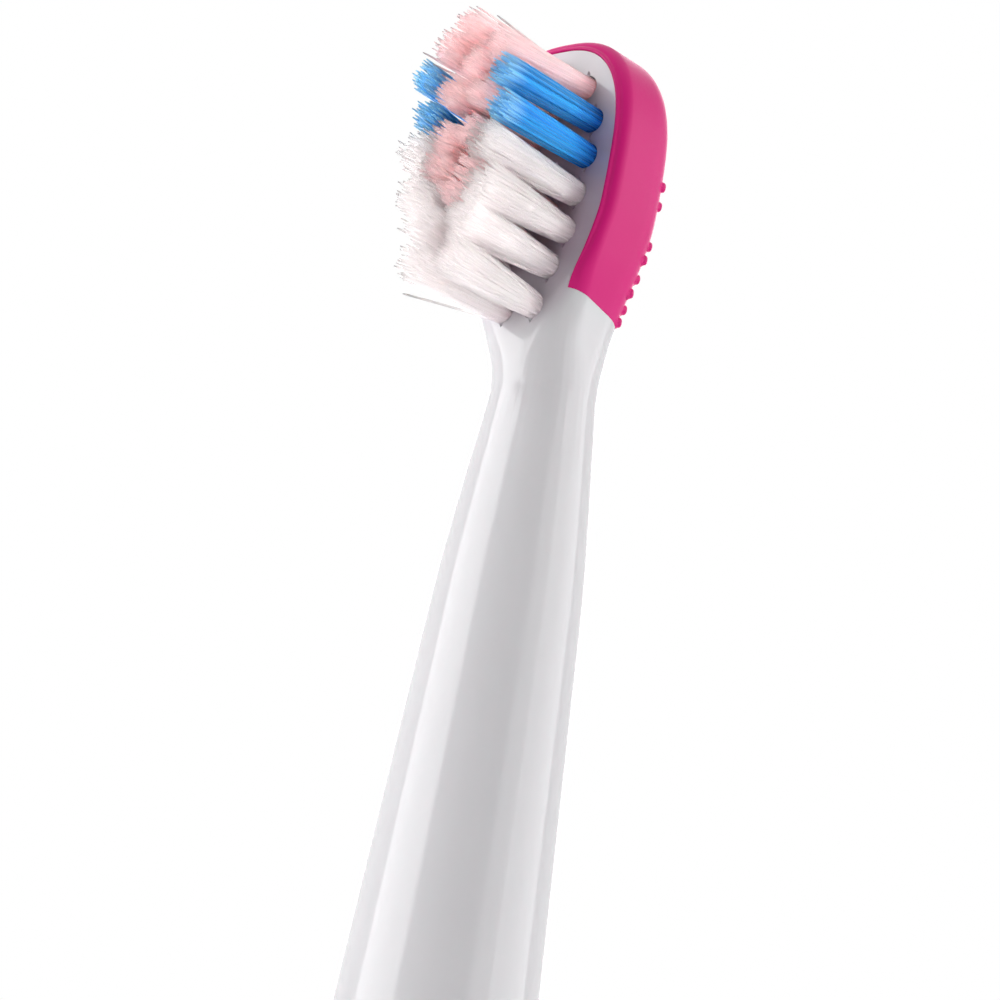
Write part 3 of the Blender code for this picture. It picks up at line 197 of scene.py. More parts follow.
def variation(tree, broad, grain, stretch=(1.0, 1.0, 1.0)):
    node = add(tree, "Group")
    node.node_tree = surfaceVariation()
    setInputs(node, Vector=placed(tree, Scale=stretch), Broad_Scale=broad, Grain_Scale=grain)
    return node.outputs["Broad"], node.outputs["Grain"]


def uneven(name, first, second, roughness, grain, relief=(0.1, 0.00002),
           metallic=0.0, stretch=(1.0, 1.0, 1.0), **constants):
    # A finish with two close colours, uneven gloss and a fine relief
    made, tree, shader = newMaterial(name)
    broad, fine = variation(tree, *grain, stretch)
    setInputs(
        shader, Base_Color=mixColours(tree, first, second, spread(tree, broad, 0.0, 1.0)),
        Roughness=spread(tree, fine, *roughness), Normal=bump(tree, fine, *relief),
        Metallic=metallic, **constants,
    )
    return made


# The width of one band of the wave texture is this share of its scale
bandShare = 1 / 3.18


def banded(name, first, second, pitch, roughness, metallic):
    # Wire wound round the Z axis: one band for each turn
    made, tree, shader = newMaterial(name)
    where = add(tree, "TexCoord").outputs["Object"]
    wave = add(tree, "TexWave", Scale=bandShare / pitch, Distortion=0.4, Vector=where)
    wave.bands_direction = "Z"
    turns = wave.outputs["Fac"]
    setInputs(
        shader, Base_Color=mixColours(tree, first, second, turns), Roughness=roughness,
        Metallic=metallic, Normal=bump(tree, turns, 0.8, 0.00005),
    )
    return made


def circuitFinish():
    # Solder mask with lighter copper runs under it
    made, tree, shader = newMaterial("solderMask")
    brick = add(
        tree, "TexBrick", Scale=420.0, Mortar_Size=0.06, Color1=(0.010, 0.105, 0.045),
        Color2=(0.016, 0.135, 0.060), Mortar=(0.05, 0.26, 0.11),
        Vector=placed(tree, Rotation=(math.radians(90), 0, 0)),
    )
    setInputs(
        shader, Base_Color=brick.outputs["Color"], Roughness=0.32,
        Normal=bump(tree, brick.outputs["Fac"], 0.3, 0.00002),
    )
    return made


# Glossy white: two colours, roughness, grain and relief
whiteValues = (
    (0.86, 0.842, 0.872), (0.88, 0.862, 0.888), (0.10, 0.16), (40.0, 900.0), (0.03, 0.00001)
)
whiteCoat = {"Coat_Weight": 0.3, "Coat_Roughness": 0.06}
# Painted pink bounce light from the pink tufts and cover on the face, in metres: it comes up with
# the height, fades to the crown and ends behind the face
paintedPinkBounce = (("Z", 0.0, 0.75, 0.2225, 0.2290), ("Z", 1.0, 0.25, 0.2365, 0.2405),
            ("Y", 1.0, 0.0, -0.0039, -0.0034))


def headWhite():
    # Glossy white with painted pink bounce light from the tufts and cover over the tufted part of
    # the face
    made = uneven(
        "headWhite", *whiteValues, **whiteCoat, Subsurface_Weight=0.2, Subsurface_Scale=0.0025,
        Subsurface_Radius=(1.0, 0.45, 0.55),
    )
    tree = made.node_tree
    shader = tree.nodes["Principled BSDF"]
    shader.subsurface_method = "BURLEY"
    plain = shader.inputs["Base Color"].links[0].from_socket
    place = add(tree, "SeparateXYZ", Vector=add(tree, "TexCoord").outputs["Object"])
    # Mask for the painted pink bounce light: the pink is mixed in over the tufted part of the face
    mask = 1.0
    for axis, *limits in paintedPinkBounce:
        mask = maths(tree, "MULTIPLY", spread(tree, place.outputs[axis], *limits), mask)
    setInputs(shader, Base_Color=mixColours(tree, plain, (0.70, 0.50, 0.66), mask))
    return made


def filamentFinish(name, root, body, tip, tones, glow, reach, bleed):
    # Strand colour along its length, a little different from strand to strand
    made, tree, shader = newMaterial(name)
    along, tone = add(tree, "Attribute"), add(tree, "Attribute")
    along.attribute_name, tone.attribute_name = "along", "tone"
    colour = root
    for nextColour, start, end in ((body, 0.05, 0.35), (tip, 0.82, 1.0)):
        share = spread(tree, along.outputs["Fac"], 0.0, 1.0, start, end)
        colour = mixColours(tree, colour, nextColour, share)
    value, gloss = (
        spread(tree, tone.outputs["Fac"], *limits, 0.0, 1.0) for limits in (tones, (0.28, 0.42))
    )
    shifted = add(tree, "HueSaturation", Color=colour, Value=value)
    shader.subsurface_method = "BURLEY"
    setInputs(
        shader, Base_Color=shifted.outputs["Color"], Roughness=gloss, Subsurface_Weight=glow,
        Subsurface_Radius=bleed, Subsurface_Scale=reach,
    )
    return made


# White surround: its light on the object, and its strength where it is seen
worldSetup = {"level": 0.085, "seenLevel": 1.0, "colour": (1.0, 1.0, 1.0)}
floorSetup = {
    "size": 4.0, "roughness": 0.7, "grain": (6.0, 40.0), "seenShare": 0.88,
    "colours": ((0.86, 0.86, 0.86), (0.9, 0.9, 0.9)),
}


def seenRays(tree):
    # 1 for the rays that see the background: camera, glossy and transmission
    path = add(tree, "LightPath")
    seen = path.outputs["Is Camera Ray"]
    for kind in ("Is Glossy Ray", "Is Transmission Ray"):
        seen = maths(tree, "MAXIMUM", seen, path.outputs[kind])
    return seen


def blendShaders(tree, out, share, first, second):
    mix = add(tree, "MixShader", Fac=share)
    feed(mix.inputs[1], first.outputs[0])
    feed(mix.inputs[2], second.outputs[0])
    setInputs(out, Surface=mix.outputs[0])


def addWorld():
    world = bpy.data.worlds.new("studio")
    scene.world = world
    world.use_nodes = True
    tree = world.node_tree
    tree.nodes.clear()
    room, shown = (
        add(tree, "Background", Color=worldSetup["colour"], Strength=worldSetup[key])
        for key in ("level", "seenLevel")
    )
    blendShaders(tree, add(tree, "OutputWorld"), seenRays(tree), room, shown)


def addFloor():
    deselect()
    bpy.ops.mesh.primitive_plane_add(size=floorSetup["size"], location=(0, 0, 0))
    floor = bpy.context.object
    floor.name = "studioFloor"
    mode("EDIT")
    bpy.ops.mesh.subdivide(number_cuts=1)
    mode("OBJECT")
    paint, tree, shader = newMaterial("paleFloor")
    broad, _ = variation(tree, *floorSetup["grain"])
    tint = mixColours(tree, *floorSetup["colours"], broad)
    setInputs(shader, Roughness=floorSetup["roughness"], Base_Color=tint)
    white = add(tree, "Emission", Color=worldSetup["colour"], Strength=worldSetup["seenLevel"])
    share = maths(tree, "MULTIPLY", seenRays(tree), floorSetup["seenShare"])
    blendShaders(tree, tree.nodes["Material Output"], share, shader, white)
    floor.data.materials.append(paint)


print("materials")
finishes = {
    "shell_plastic": uneven("glossyWhite", *whiteValues, **whiteCoat),
    "head_plastic": headWhite(),
    "soft_pink": uneven(
        "softPink", (0.83, 0.003, 0.225), (0.87, 0.005, 0.247), (0.38, 0.46), (90.0, 5200.0),
        (0.10, 0.00001), Specular_IOR_Level=0.34,
    ),
    "trim_plastic": uneven(
        "satinGrey", (0.62, 0.63, 0.65), (0.66, 0.67, 0.69), (0.24, 0.34), (60.0, 2600.0)
    ),
    "inner_plastic": uneven(
        "paleNylon", (0.70, 0.70, 0.67), (0.76, 0.76, 0.73), (0.42, 0.55), (120.0, 3000.0),
        (0.25, 0.00003),
    ),
    "dark_plastic": uneven(
        "darkNylon", (0.028, 0.028, 0.031), (0.042, 0.042, 0.046), (0.38, 0.52), (120.0, 3000.0),
        (0.3, 0.00003),
    ),
    "seal_rubber": uneven(
        "sealRubber", (0.052, 0.053, 0.056), (0.075, 0.076, 0.08), (0.58, 0.74), (160.0, 4200.0),
        (0.35, 0.00004),
    ),
    "copper_wire": banded(
        "enamelledCopper", (0.42, 0.13, 0.035), (0.74, 0.30, 0.11), 0.00025, 0.3, 0.9
    ),
    "cell_wrap": uneven(
        "cellWrap", (0.030, 0.105, 0.30), (0.036, 0.125, 0.345), (0.22, 0.30), (50.0, 900.0)
    ),
    "nickel_strip": uneven(
        "nickelStrip", (0.58, 0.56, 0.51), (0.66, 0.64, 0.60), (0.22, 0.36), (150.0, 3500.0),
        (0.2, 0.00002), 1.0, (1.0, 0.08, 1.0),
    ),
    "board_laminate": circuitFinish(),
    "bright_steel": uneven(
        "brightSteel", (0.58, 0.585, 0.60), (0.66, 0.665, 0.68), (0.16, 0.30), (80.0, 4200.0),
        (0.15, 0.00002), 1.0, (0.15, 0.15, 1.0),
    ),
    "soft_iron": uneven(
        "softIron", (0.26, 0.26, 0.275), (0.33, 0.33, 0.34), (0.34, 0.5), (120.0, 3600.0),
        (0.25, 0.00003), 1.0,
    ),
    "bearing_bronze": uneven(
        "sinteredBronze", (0.42, 0.26, 0.10), (0.52, 0.34, 0.15), (0.32, 0.48), (200.0, 5200.0),
        (0.35, 0.00003), 1.0,
    ),
    "magnet_plating": uneven(
        "magnetPlating", (0.50, 0.50, 0.49), (0.57, 0.565, 0.55), (0.18, 0.28), (150.0, 3000.0),
        (0.15, 0.00002), 1.0,
    ),
    "lens_plastic": uneven(
        "frostedLens", (0.80, 0.86, 0.88), (0.86, 0.91, 0.92), (0.20, 0.30), (200.0, 4000.0),
        (0.1, 0.00001), Subsurface_Weight=0.4, Subsurface_Scale=0.001,
    ),
    "led_plastic": uneven(
        "ledResin", (0.80, 0.78, 0.55), (0.88, 0.86, 0.66), (0.18, 0.26), (300.0, 4000.0)
    ),
    "pink_filament": filamentFinish(
        "pinkFilament", (0.82, 0.52, 0.53), (0.85, 0.69, 0.70), (0.64, 0.53, 0.54),
        (0.93, 1.05), 1.0, 0.0025, (1.0, 0.60, 0.58),
    ),
    "white_filament": filamentFinish(
        "whiteFilament", (0.71, 0.64, 0.66), (0.70, 0.672, 0.672), (0.60, 0.58, 0.58),
        (0.96, 1.03), 1.0, 0.0029, (1.0, 0.90, 0.90),
    ),
    "blue_filament": filamentFinish(
        "blueFilament", (0.002, 0.15, 0.64), (0.04, 0.47, 1.0), (0.40, 0.76, 1.0),
        (0.68, 1.18), 0.40, 0.0012, (1.0, 1.0, 1.0),
    ),
}


def finishPiece(piece, angle, finish, body, replaced):
    choose(piece)
    bpy.ops.object.shade_smooth_by_angle(angle=math.radians(angle))
    piece.data.materials.clear()
    piece.data.materials.append(finishes[finish])
    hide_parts(replaced)
    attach(piece, body)


def mode(name):
    bpy.ops.object.mode_set(mode=name)


def deselect():
    bpy.ops.object.select_all(action="DESELECT")


def choose(piece):
    deselect()
    piece.select_set(True)
    bpy.context.view_layer.objects.active = piece


def newPiece(name, points, faces):
    # Points in millimetres, from the head's lower rim
    mesh = bpy.data.meshes.new(name)
    vertices = [(x * mm, y * mm, (z + headShape["foot"]) * mm) for x, y, z in points]
    mesh.from_pydata(vertices, [], faces)
    return newObject(name, mesh)


def closeMesh(name, points, faces, merge=0.000002):
    # A closed piece from points and faces, its doubles merged and its faces turned outwards
    piece = newPiece(name, points, faces)
    bm = bmesh.new()
    bm.from_mesh(piece.data)
    bmesh.ops.remove_doubles(bm, verts=bm.verts, dist=merge)
    bmesh.ops.dissolve_degenerate(bm, edges=bm.edges, dist=merge)
    bmesh.ops.recalc_face_normals(bm, faces=bm.faces)
    bm.to_mesh(piece.data)
    bm.free()
    return piece


def strips(rows):
    # Quads between each row of points and the next
    return [
        (a, b, d, c) for first, second in zip(rows, rows[1:])
        for a, b, c, d in zip(first, first[1:], second, second[1:])
    ]


def around(first, count):
    # The points of a closed ring, with the first one again at the end
    return [*range(first, first + count), first]


def pick(piece, test):
    # Edit mode with only the points that pass the test selected
    choose(piece)
    mode("EDIT")
    bpy.ops.mesh.select_mode(type="VERT")
    bpy.ops.mesh.select_all(action="DESELECT")
    mode("OBJECT")
    for vertex in piece.data.vertices:
        vertex.select = test(vertex.co)
    mode("EDIT")


def applyModifiers(piece):
    choose(piece)
    for modifier in list(piece.modifiers):
        bpy.ops.object.modifier_apply(modifier=modifier.name)


def settle(piece):
    # The piece's object goes to the origin, with its place in its mesh
    choose(piece)
    bpy.ops.object.transform_apply(location=True, rotation=True, scale=True)


def cutAway(piece, cutter, operation="DIFFERENCE"):
    modifier = piece.modifiers.new("cut", "BOOLEAN")
    modifier.operation = operation
    modifier.solver = "EXACT"
    modifier.object = cutter
    applyModifiers(piece)
    bpy.data.objects.remove(cutter, do_unlink=True)


def curveThrough(rows, at, column=1):
    # A smooth curve through the rows' first value and the chosen column
    if at <= rows[0][0]:
        return rows[0][column]
    if at >= rows[-1][0]:
        return rows[-1][column]
    k = max(i for i, row in enumerate(rows) if row[0] <= at)
    k = min(k, len(rows) - 2)

    def slope(i):
        before, after = rows[max(i - 1, 0)], rows[min(i + 1, len(rows) - 1)]
        return (after[column] - before[column]) / (after[0] - before[0])

    width = rows[k + 1][0] - rows[k][0]
    t = (at - rows[k][0]) / width
    start, end = rows[k][column], rows[k + 1][column]
    return (
        start * (2 * t**3 - 3 * t**2 + 1) + slope(k) * width * (t**3 - 2 * t**2 + t)
        + end * (3 * t**2 - 2 * t**3) + slope(k + 1) * width * (t**3 - t**2)
    )


# Brush head, in millimetres from its own lower rim
headShape = {
    "foot": 168.6, "centre": 66.5, "tip": 9.5, "halfWidth": 6.86, "power": 2.6,
    # height and radius
    "neck": (
        (0.0, 7.3), (7.62, 6.85), (14.22, 6.454), (21.49, 6.022), (28.8, 5.59), (36.22, 5.14),
        (39.78, 4.852), (43.48, 4.481), (47.19, 4.078), (50.8, 3.7),
    ),
    # height, half-width, front, back, front corner radius, rear corner radius
    "flare": (
        (50.8, 3.70, 3.70, 3.70, 3.70, 3.70), (52.5, 3.70, 3.84, 3.48, 3.38, 3.48),
        (54.51, 3.98, 3.98, 3.09, 2.49, 3.0), (56.5, 4.64, 4.03, 2.60, 1.79, 2.7),
        (58.49, 5.49, 4.05, 2.35, 1.10, 2.7), (60.0, 6.05, 4.05, 2.30, 0.90, 2.7),
        (62.5, 6.65, 4.05, 2.30, 0.90, 2.7), (64.2, 6.82, 4.05, 2.30, 0.90, 2.7),
        (66.5, 6.86, 4.05, 2.30, 0.90, 2.7),
    ),
    # height and half-width of the white face
    "face": (
        (54.5, 3.45), (57.1, 4.05), (58.25, 4.46), (60.04, 5.14), (62.5, 5.78), (64.75, 5.93),
        (66.5, 5.96),
    ),
    "faceInset": 0.9, "seamHeight": 56.46, "seamSlope": 0.158, "faceBack": -1.4,
    "wall": 1.4, "bore": (30.0, 22.0, 14.0, 7.0, 0.0), "rimRound": 0.35, "rimSteps": 4,
    "halfPoints": 96, "plainRings": (1.5, 1.25, 37), "tiltFrom": 47.5, "tiltSteps": 30,
    "faceSteps": 60, "levelOver": 4.0, "cornerSteps": 12, "rearSteps": 16, "cornerMost": 0.999,
    "holeRadius": 0.91, "holeSides": 36, "holeDepth": 1.0, "cutAhead": 1.0,
    "nickRadius": 0.34, "nickTip": 0.12, "nickLength": 1.4, "nickReach": 1.06,
}


def neckRadius(height):
    return curveThrough(headShape["neck"], height)


def roundShare(height, inset):
    rise = (height - headShape["centre"]) / (headShape["tip"] - inset)
    return max(0.0, 1.0 - max(0.0, rise) ** headShape["power"]) ** (1 / headShape["power"])


def headSizes(height):
    rows = headShape["flare"]
    if height <= rows[0][0]:
        return (neckRadius(height),) * 5
    if height <= headShape["centre"]:
        return tuple(curveThrough(rows, height, column) for column in range(1, 6))
    width = headShape["halfWidth"] * roundShare(height, 0.0)
    return (width, *rows[-1][2:])


def faceHalfWidth(height):
    if height <= headShape["centre"]:
        return curveThrough(headShape["face"], height)
    inset = headShape["faceInset"]
    return (headShape["halfWidth"] - inset) * roundShare(height, inset)


def headSection(height):
    # Half the outline at a height, from the middle of the front to the middle of the back
    width, front, back, edge, rear = headSizes(height)
    most = headShape["cornerMost"]
    edge, rear = min(edge, width * most, front * most), min(rear, width * most, back * most)
    path = [(0.0, -front)]
    for radius, middle, first, steps in (
        (edge, edge - front, -90, headShape["cornerSteps"]),
        (rear, back - rear, 0, headShape["rearSteps"]),
    ):
        for i in range(steps + 1):
            angle = math.radians(first + 90 * i / steps)
            path.append((
                width - radius + radius * math.cos(angle), middle + radius * math.sin(angle)
            ))
    path.append((0.0, back))
    return path


def evenly(path, count):
    # The points at equal steps along a path
    lengths = [0.0]
    for first, second in zip(path, path[1:]):
        lengths.append(lengths[-1] + math.dist(first, second))
    points, k = [], 0
    for i in range(count + 1):
        at = lengths[-1] * i / count
        while k < len(path) - 2 and lengths[k + 1] < at:
            k += 1
        span = lengths[k + 1] - lengths[k]
        t = (at - lengths[k]) / span if span else 0.0
        points.append(tuple(a + (b - a) * t for a, b in zip(path[k], path[k + 1])))
    return points


# Sections are kept at this step of height
sectionStep = 0.02
sectionStore = {}


def sectionPoints(height):
    key = round(height / sectionStep)
    if key not in sectionStore:
        sectionStore[key] = evenly(headSection(key * sectionStep), headShape["halfPoints"])
    return sectionStore[key]


def headRing(base, tilt, clamp=False):
    # One ring of the neck; its height falls towards the back by the seam's slope times tilt
    slope = headShape["seamSlope"] * tilt
    half = []
    for i in range(headShape["halfPoints"] + 1):
        x, y = sectionPoints(base)[i]
        for _ in range(2):
            lower, upper = (
                sectionPoints(base - slope * y + side * sectionStep / 2)[i] for side in (-1, 1)
            )
            x, y = (lower[0] + upper[0]) / 2, (lower[1] + upper[1]) / 2
        if clamp:
            y = min(y, headShape["faceBack"])
            x = min(x, faceHalfWidth(base - slope * y))
        half.append((x, y, base - slope * y))
    return half + [(-x, y, z) for x, y, z in reversed(half[1:-1])]


def circleRing(radius, height):
    count = headShape["halfPoints"] * 2
    turns = (math.tau * i / count for i in range(count))
    return [(radius * math.sin(a), -radius * math.cos(a), height) for a in turns]


def loftRings(rings):
    # Rings of equal counts joined by quads and closed by a fan at each end
    count = len(rings[0])
    vertices = [point for ring in rings for point in ring]
    rows = [around(k * count, count) for k in range(len(rings))]
    faces = strips(rows)
    for k in (0, -1):
        vertices.append(tuple(sum(values) / count for values in zip(*rings[k])))
        faces += [(len(vertices) - 1, a, b) for a, b in zip(rows[k], rows[k][1:])]
    return vertices, faces


# Tufts on the face: x and height above the head's lower rim, then how far the tip leans
tuftPlaces = {
    "pinkTufts": (
        (0.0, 73.3, -0.55, -0.05), (2.7, 72.0, -0.20, -0.70), (-2.7, 72.0, 0.55, -0.15),
        (0.0, 70.6, 0.45, -0.30), (1.3, 68.3, 0.08, -0.20), (-1.3, 68.3, 0.10, 0.20),
        (1.25, 65.4, -0.04, -0.20), (-1.25, 65.4, 0.19, -0.45), (1.35, 62.7, 0.40, -0.10),
        (-1.35, 62.7, 0.00, 0.15), (0.0, 60.2, 0.60, 0.75),
    ),
    "blueTuftsRight": ((3.85, 69.4, -0.60, 0.05), (3.85, 66.75, -0.15, -0.10)),
    "blueTuftsLeft": ((-3.85, 69.4, 0.10, 0.42), (-3.85, 66.75, 0.85, 0.12)),
    "whiteTufts": (
        (3.45, 64.0, -0.70, 0.20), (-3.45, 64.0, 0.20, 0.25), (3.1, 61.3, 0.00, -0.30),
        (-3.1, 61.3, 0.35, -0.30), (2.18, 58.8, -0.38, 0.02), (-2.18, 58.8, 0.38, 0.25),
        (1.3, 56.0, 0.35, -0.15), (-1.3, 56.0, -0.30, -0.15),
    ),
}


def easeInOut(share):
    return share * share * (3 - 2 * share)


def makeNeck():
    print("neck and face")
    shape = headShape
    rings = [circleRing(neckRadius(z) - shape["wall"], z) for z in shape["bore"]]
    rim, steps = shape["rimRound"], shape["rimSteps"]
    for i in range(steps + 1):
        angle = math.radians(90 * i / steps)
        rings.append(circleRing(
            neckRadius(0.0) - rim + rim * math.sin(angle), rim - rim * math.cos(angle)
        ))
    first, rise, count = shape["plainRings"]
    rings += [circleRing(neckRadius(z), z) for z in [first + rise * i for i in range(count)]]
    seam, start, steps = shape["seamHeight"], shape["tiltFrom"], shape["tiltSteps"]
    for i in range(steps + 1):
        share = i / steps
        rings.append(headRing(start + (seam - start) * share, easeInOut(share)))
    crown = shape["centre"] + shape["tip"] - shape["faceInset"]
    steps = shape["faceSteps"]
    for i in range(steps + 1):
        share = math.sin(math.pi / 2 * i / steps)
        base = seam + (crown - seam) * share
        tilt = max(0.0, 1.0 - (base - seam) / shape["levelOver"])
        rings.append(headRing(base, easeInOut(tilt), True))
    return closeMesh("neckAndFace", *loftRings(rings))


def cutTuftHoles(neck):
    # Round holes for the tufts, and the two nicks where each tuft's anchor went in
    shape = headShape
    front, foot = -shape["flare"][-1][2], shape["foot"]
    depth, ahead = shape["holeDepth"], shape["cutAhead"]
    places = [place[:2] for row in tuftPlaces.values() for place in row]
    cutters = [
        rodAlongY(
            shape["holeRadius"], depth + ahead, front + (depth - ahead) / 2, z + foot,
            shape["holeSides"], x,
        ) for x, z in places
    ]
    joinPieces(cutters)
    cutAway(neck, cutters[0])
    deselect()
    cutters = []
    for x, z in places:
        for side, turn in ((-1, 0), (1, 180)):
            bpy.ops.mesh.primitive_cone_add(
                vertices=3, radius1=shape["nickRadius"] * mm, radius2=shape["nickTip"] * mm,
                depth=shape["nickLength"] * mm,
                location=(x * mm, front * mm, (z + side * shape["nickReach"] + foot) * mm),
                rotation=(math.radians(-90), math.radians(turn), 0),
            )
            cutters.append(bpy.context.object)
    joinPieces(cutters)
    cutAway(neck, cutters[0])


def joinPieces(pieces):
    # All but the first become part of the first
    deselect()
    for piece in pieces:
        piece.select_set(True)
    bpy.context.view_layer.objects.active = pieces[0]
    bpy.ops.object.join()
    settle(pieces[0])


coverShape = {
    "gap": 0.015, "lipDepth": 0.35, "sideRows": 30, "roundRows": 34, "backWall": 1.0,
    # offsets of the thin raised rim beside the white face: across and forwards
    "bead": (
        (0.0, 0.35), (0.0, 0.02), (-0.02, -0.06), (-0.07, -0.115), (-0.14, -0.13), (-0.21, -0.105),
        (-0.26, -0.04), (-0.29, 0.04), (-0.35, 0.10),
    ),
    # the rim is this small at the seam and grows from one height over another
    "beadLeast": 0.3, "beadFrom": 57.0, "beadOver": 4.0,
    # share of the front corner that the rim takes up, then the rows of each stretch
    "beadShare": 0.33, "edgeRows": 8, "flatRows": 5, "rearRows": 12, "backRows": 5,
    "nubRows": (56.75, 57.75, 58.7, 59.85, 61.05, 62.2, 63.6, 65.15, 66.4), "bareRow": 6,
    "nubRadius": 0.36, "nubHeight": 0.3596, "nubSides": 16, "nubFoot": 1.45, "nubSink": 0.12,
    # rise as a share of the nub's height, and the share of the width kept
    "nubSteps": (
        (0.30, 0.80), (0.14, 0.88), (0.26, 0.94), (0.22, 0.86), (0.14, 0.70), (0.06, 0.50)
    ),
    "leans": (48.0, 38.0), "flatPlaces": ((-0.45, 0.45), (0.0,)),
}


def coverProfile(height):
    # Inset from the outline and depth of each row, from the lip round to the middle of the back
    shape = coverShape
    width, front, back, edge, rear = headSizes(height)
    gap, lipDepth, flatRows = (shape[key] for key in ("gap", "lipDepth", "flatRows"))
    start, full = headShape["faceInset"] - gap, headShape["halfWidth"]
    if height < headShape["centre"]:
        start, full = width - faceHalfWidth(height) - gap, width
    first = math.asin(min(1.0, max(0.0, 1 - start / edge)))
    lip = edge * (1 - math.cos(first)) - front
    grown = (height - shape["beadFrom"]) / shape["beadOver"]
    size = min(1.0, max(shape["beadLeast"], grown))
    rows = [(start + across * size, lip + depth * (size if depth < lipDepth else 1.0))
            for across, depth in shape["bead"]]
    arcStart = first + (math.pi / 2 - first) * shape["beadShare"]
    for i in range(shape["edgeRows"] + 1):
        angle = arcStart + (math.pi / 2 - arcStart) * i / shape["edgeRows"]
        rows.append((edge * (1 - math.sin(angle)), edge * (1 - math.cos(angle)) - front))
    side = back - rear - (edge - front)
    rows += [(0.0, edge - front + side * i / flatRows) for i in range(1, flatRows)]
    for i in range(shape["rearRows"] + 1):
        angle = math.pi / 2 * i / shape["rearRows"]
        rows.append((rear * (1 - math.cos(angle)), back - rear * (1 - math.sin(angle))))
    backRows = shape["backRows"]
    rows += [(rear + (full - rear) * i / backRows, back) for i in range(1, backRows + 1)]
    deepest = back - shape["backWall"]
    core = [
        (max(inset, start + gap), max(min(depth, deepest), lip + lipDepth))
        for inset, depth in rows
    ]
    return rows, core


def coverPoint(column, row, inner):
    # column counts from the seam at the right, over the top, to the seam at the left
    sideRows, roundRows = coverShape["sideRows"], coverShape["roundRows"]
    half = sideRows + roundRows
    mirrored = column > half
    at = 2 * half - column if mirrored else column
    centre, power, base = (headShape[key] for key in ("centre", "power", "seamHeight"))
    if at <= sideRows:
        share = at / sideRows
        height = base + (centre - base) * share
        for _ in range(3):
            inset, depth = coverProfile(min(height, centre))[inner][row]
            seam = base - headShape["seamSlope"] * depth + coverShape["gap"]
            height = seam + (centre - seam) * share
        x = headSizes(height)[0] - inset
    else:
        angle = math.pi / 2 * (at - sideRows) / roundRows
        inset, depth = coverProfile(centre)[inner][row]
        x = (headShape["halfWidth"] - inset) * math.cos(angle) ** (2 / power)
        height = centre + (headShape["tip"] - inset) * math.sin(angle) ** (2 / power)
    x = max(0.0, x)
    return (-x if mirrored else x, depth, height)


def makeCover():
    print("head cover")
    columns = 2 * (coverShape["sideRows"] + coverShape["roundRows"]) + 1
    vertices, faces, layers = [], [], []
    for inner in (0, 1):
        layer = []
        for row in range(len(coverProfile(headShape["centre"])[0])):
            layer.append(range(len(vertices), len(vertices) + columns))
            vertices += [coverPoint(column, row, inner) for column in range(columns)]
        layers.append(layer)
        faces += strips(layer)
    # closed at the seam on both sides, and along the lip
    for column in (0, columns - 1):
        faces += strips([[row[column] for row in layer] for layer in layers])
    faces += strips([layer[0] for layer in layers])
    return closeMesh("headCover", vertices, faces)


def makeNub():
    # A blunt pin with a flared foot and a domed end, standing up along +Z
    shape = coverShape
    deselect()
    bpy.ops.mesh.primitive_circle_add(
        vertices=shape["nubSides"], fill_type="NOTHING",
        radius=shape["nubRadius"] * mm * shape["nubFoot"],
    )
    nub = bpy.context.object
    mode("EDIT")
    bpy.ops.mesh.select_all(action="SELECT")
    bpy.ops.transform.translate(value=(0, 0, -shape["nubSink"] * mm))
    for rise, wide in shape["nubSteps"]:
        step = (0, 0, rise * shape["nubHeight"] * mm)
        bpy.ops.mesh.extrude_region_move(TRANSFORM_OT_translate={"value": step})
        bpy.ops.transform.resize(value=(wide, wide, 1))
    bpy.ops.mesh.edge_face_add()
    turnOutwards()
    return nub


def turnOutwards():
    # The faces of the piece in edit mode, which then goes back to object mode
    bpy.ops.mesh.select_all(action="SELECT")
    bpy.ops.mesh.normals_make_consistent(inside=False)
    mode("OBJECT")


def addNubs(cover):
    # Rows take turns: two nubs on the flat and two round the corners, or one and two
    nub = makeNub()
    copies = [cover]
    for row, height in enumerate(coverShape["nubRows"]):
        width, _, back, _, rear = headSizes(min(height, headShape["centre"]))
        flatHalf = width - rear
        feet = [(share * flatHalf, back, 0.0) for share in coverShape["flatPlaces"][row % 2]]
        lean = math.radians(coverShape["leans"][row % 2])
        if row != coverShape["bareRow"]:
            reach = flatHalf + rear * math.sin(lean)
            depth = back - rear + rear * math.cos(lean)
            feet += [(reach, depth, lean), (-reach, depth, -lean)]
        for x, y, turn in feet:
            copy = newObject("nub", nub.data.copy())
            out = Vector((math.sin(turn), math.cos(turn), 0.0))
            copy.location = Vector((x, y, height + headShape["foot"])) * mm
            copy.rotation_euler = out.to_track_quat("Z", "Y").to_euler()
            copies.append(copy)
    bpy.data.objects.remove(nub, do_unlink=True)
    joinPieces(copies)


# Bristles
strandShape = {
    "length": 9.3, "rootDepth": 0.85, "sides": 5, "rootRadius": 0.80,
    "count": {"pink": 92, "blue": 62, "white": 120},
    "radius": {"pink": 0.090, "blue": 0.104, "white": 0.098},
    "tipRadius": {"pink": 1.17, "blue": 1.12, "white": 1.54},
    "tipJitter": {"pink": 0.085, "blue": 0.045, "white": 0.065},
    # share of the length, and of the radius
    "rings": ((0.0, 1.0), (0.22, 1.0), (0.5, 1.0), (0.78, 0.95), (0.95, 0.80), (1.0, 0.42)),
    # least and most, in millimetres and as a power of the share of the length
    "lengthSpread": (-0.432, 0.27), "bend": (0.75, 1.15),
    # a few strands past this share of the tuft's radius stand astray
    "strayShare": 0.04, "strayFrom": 0.7, "strayJitter": 0.45,
}


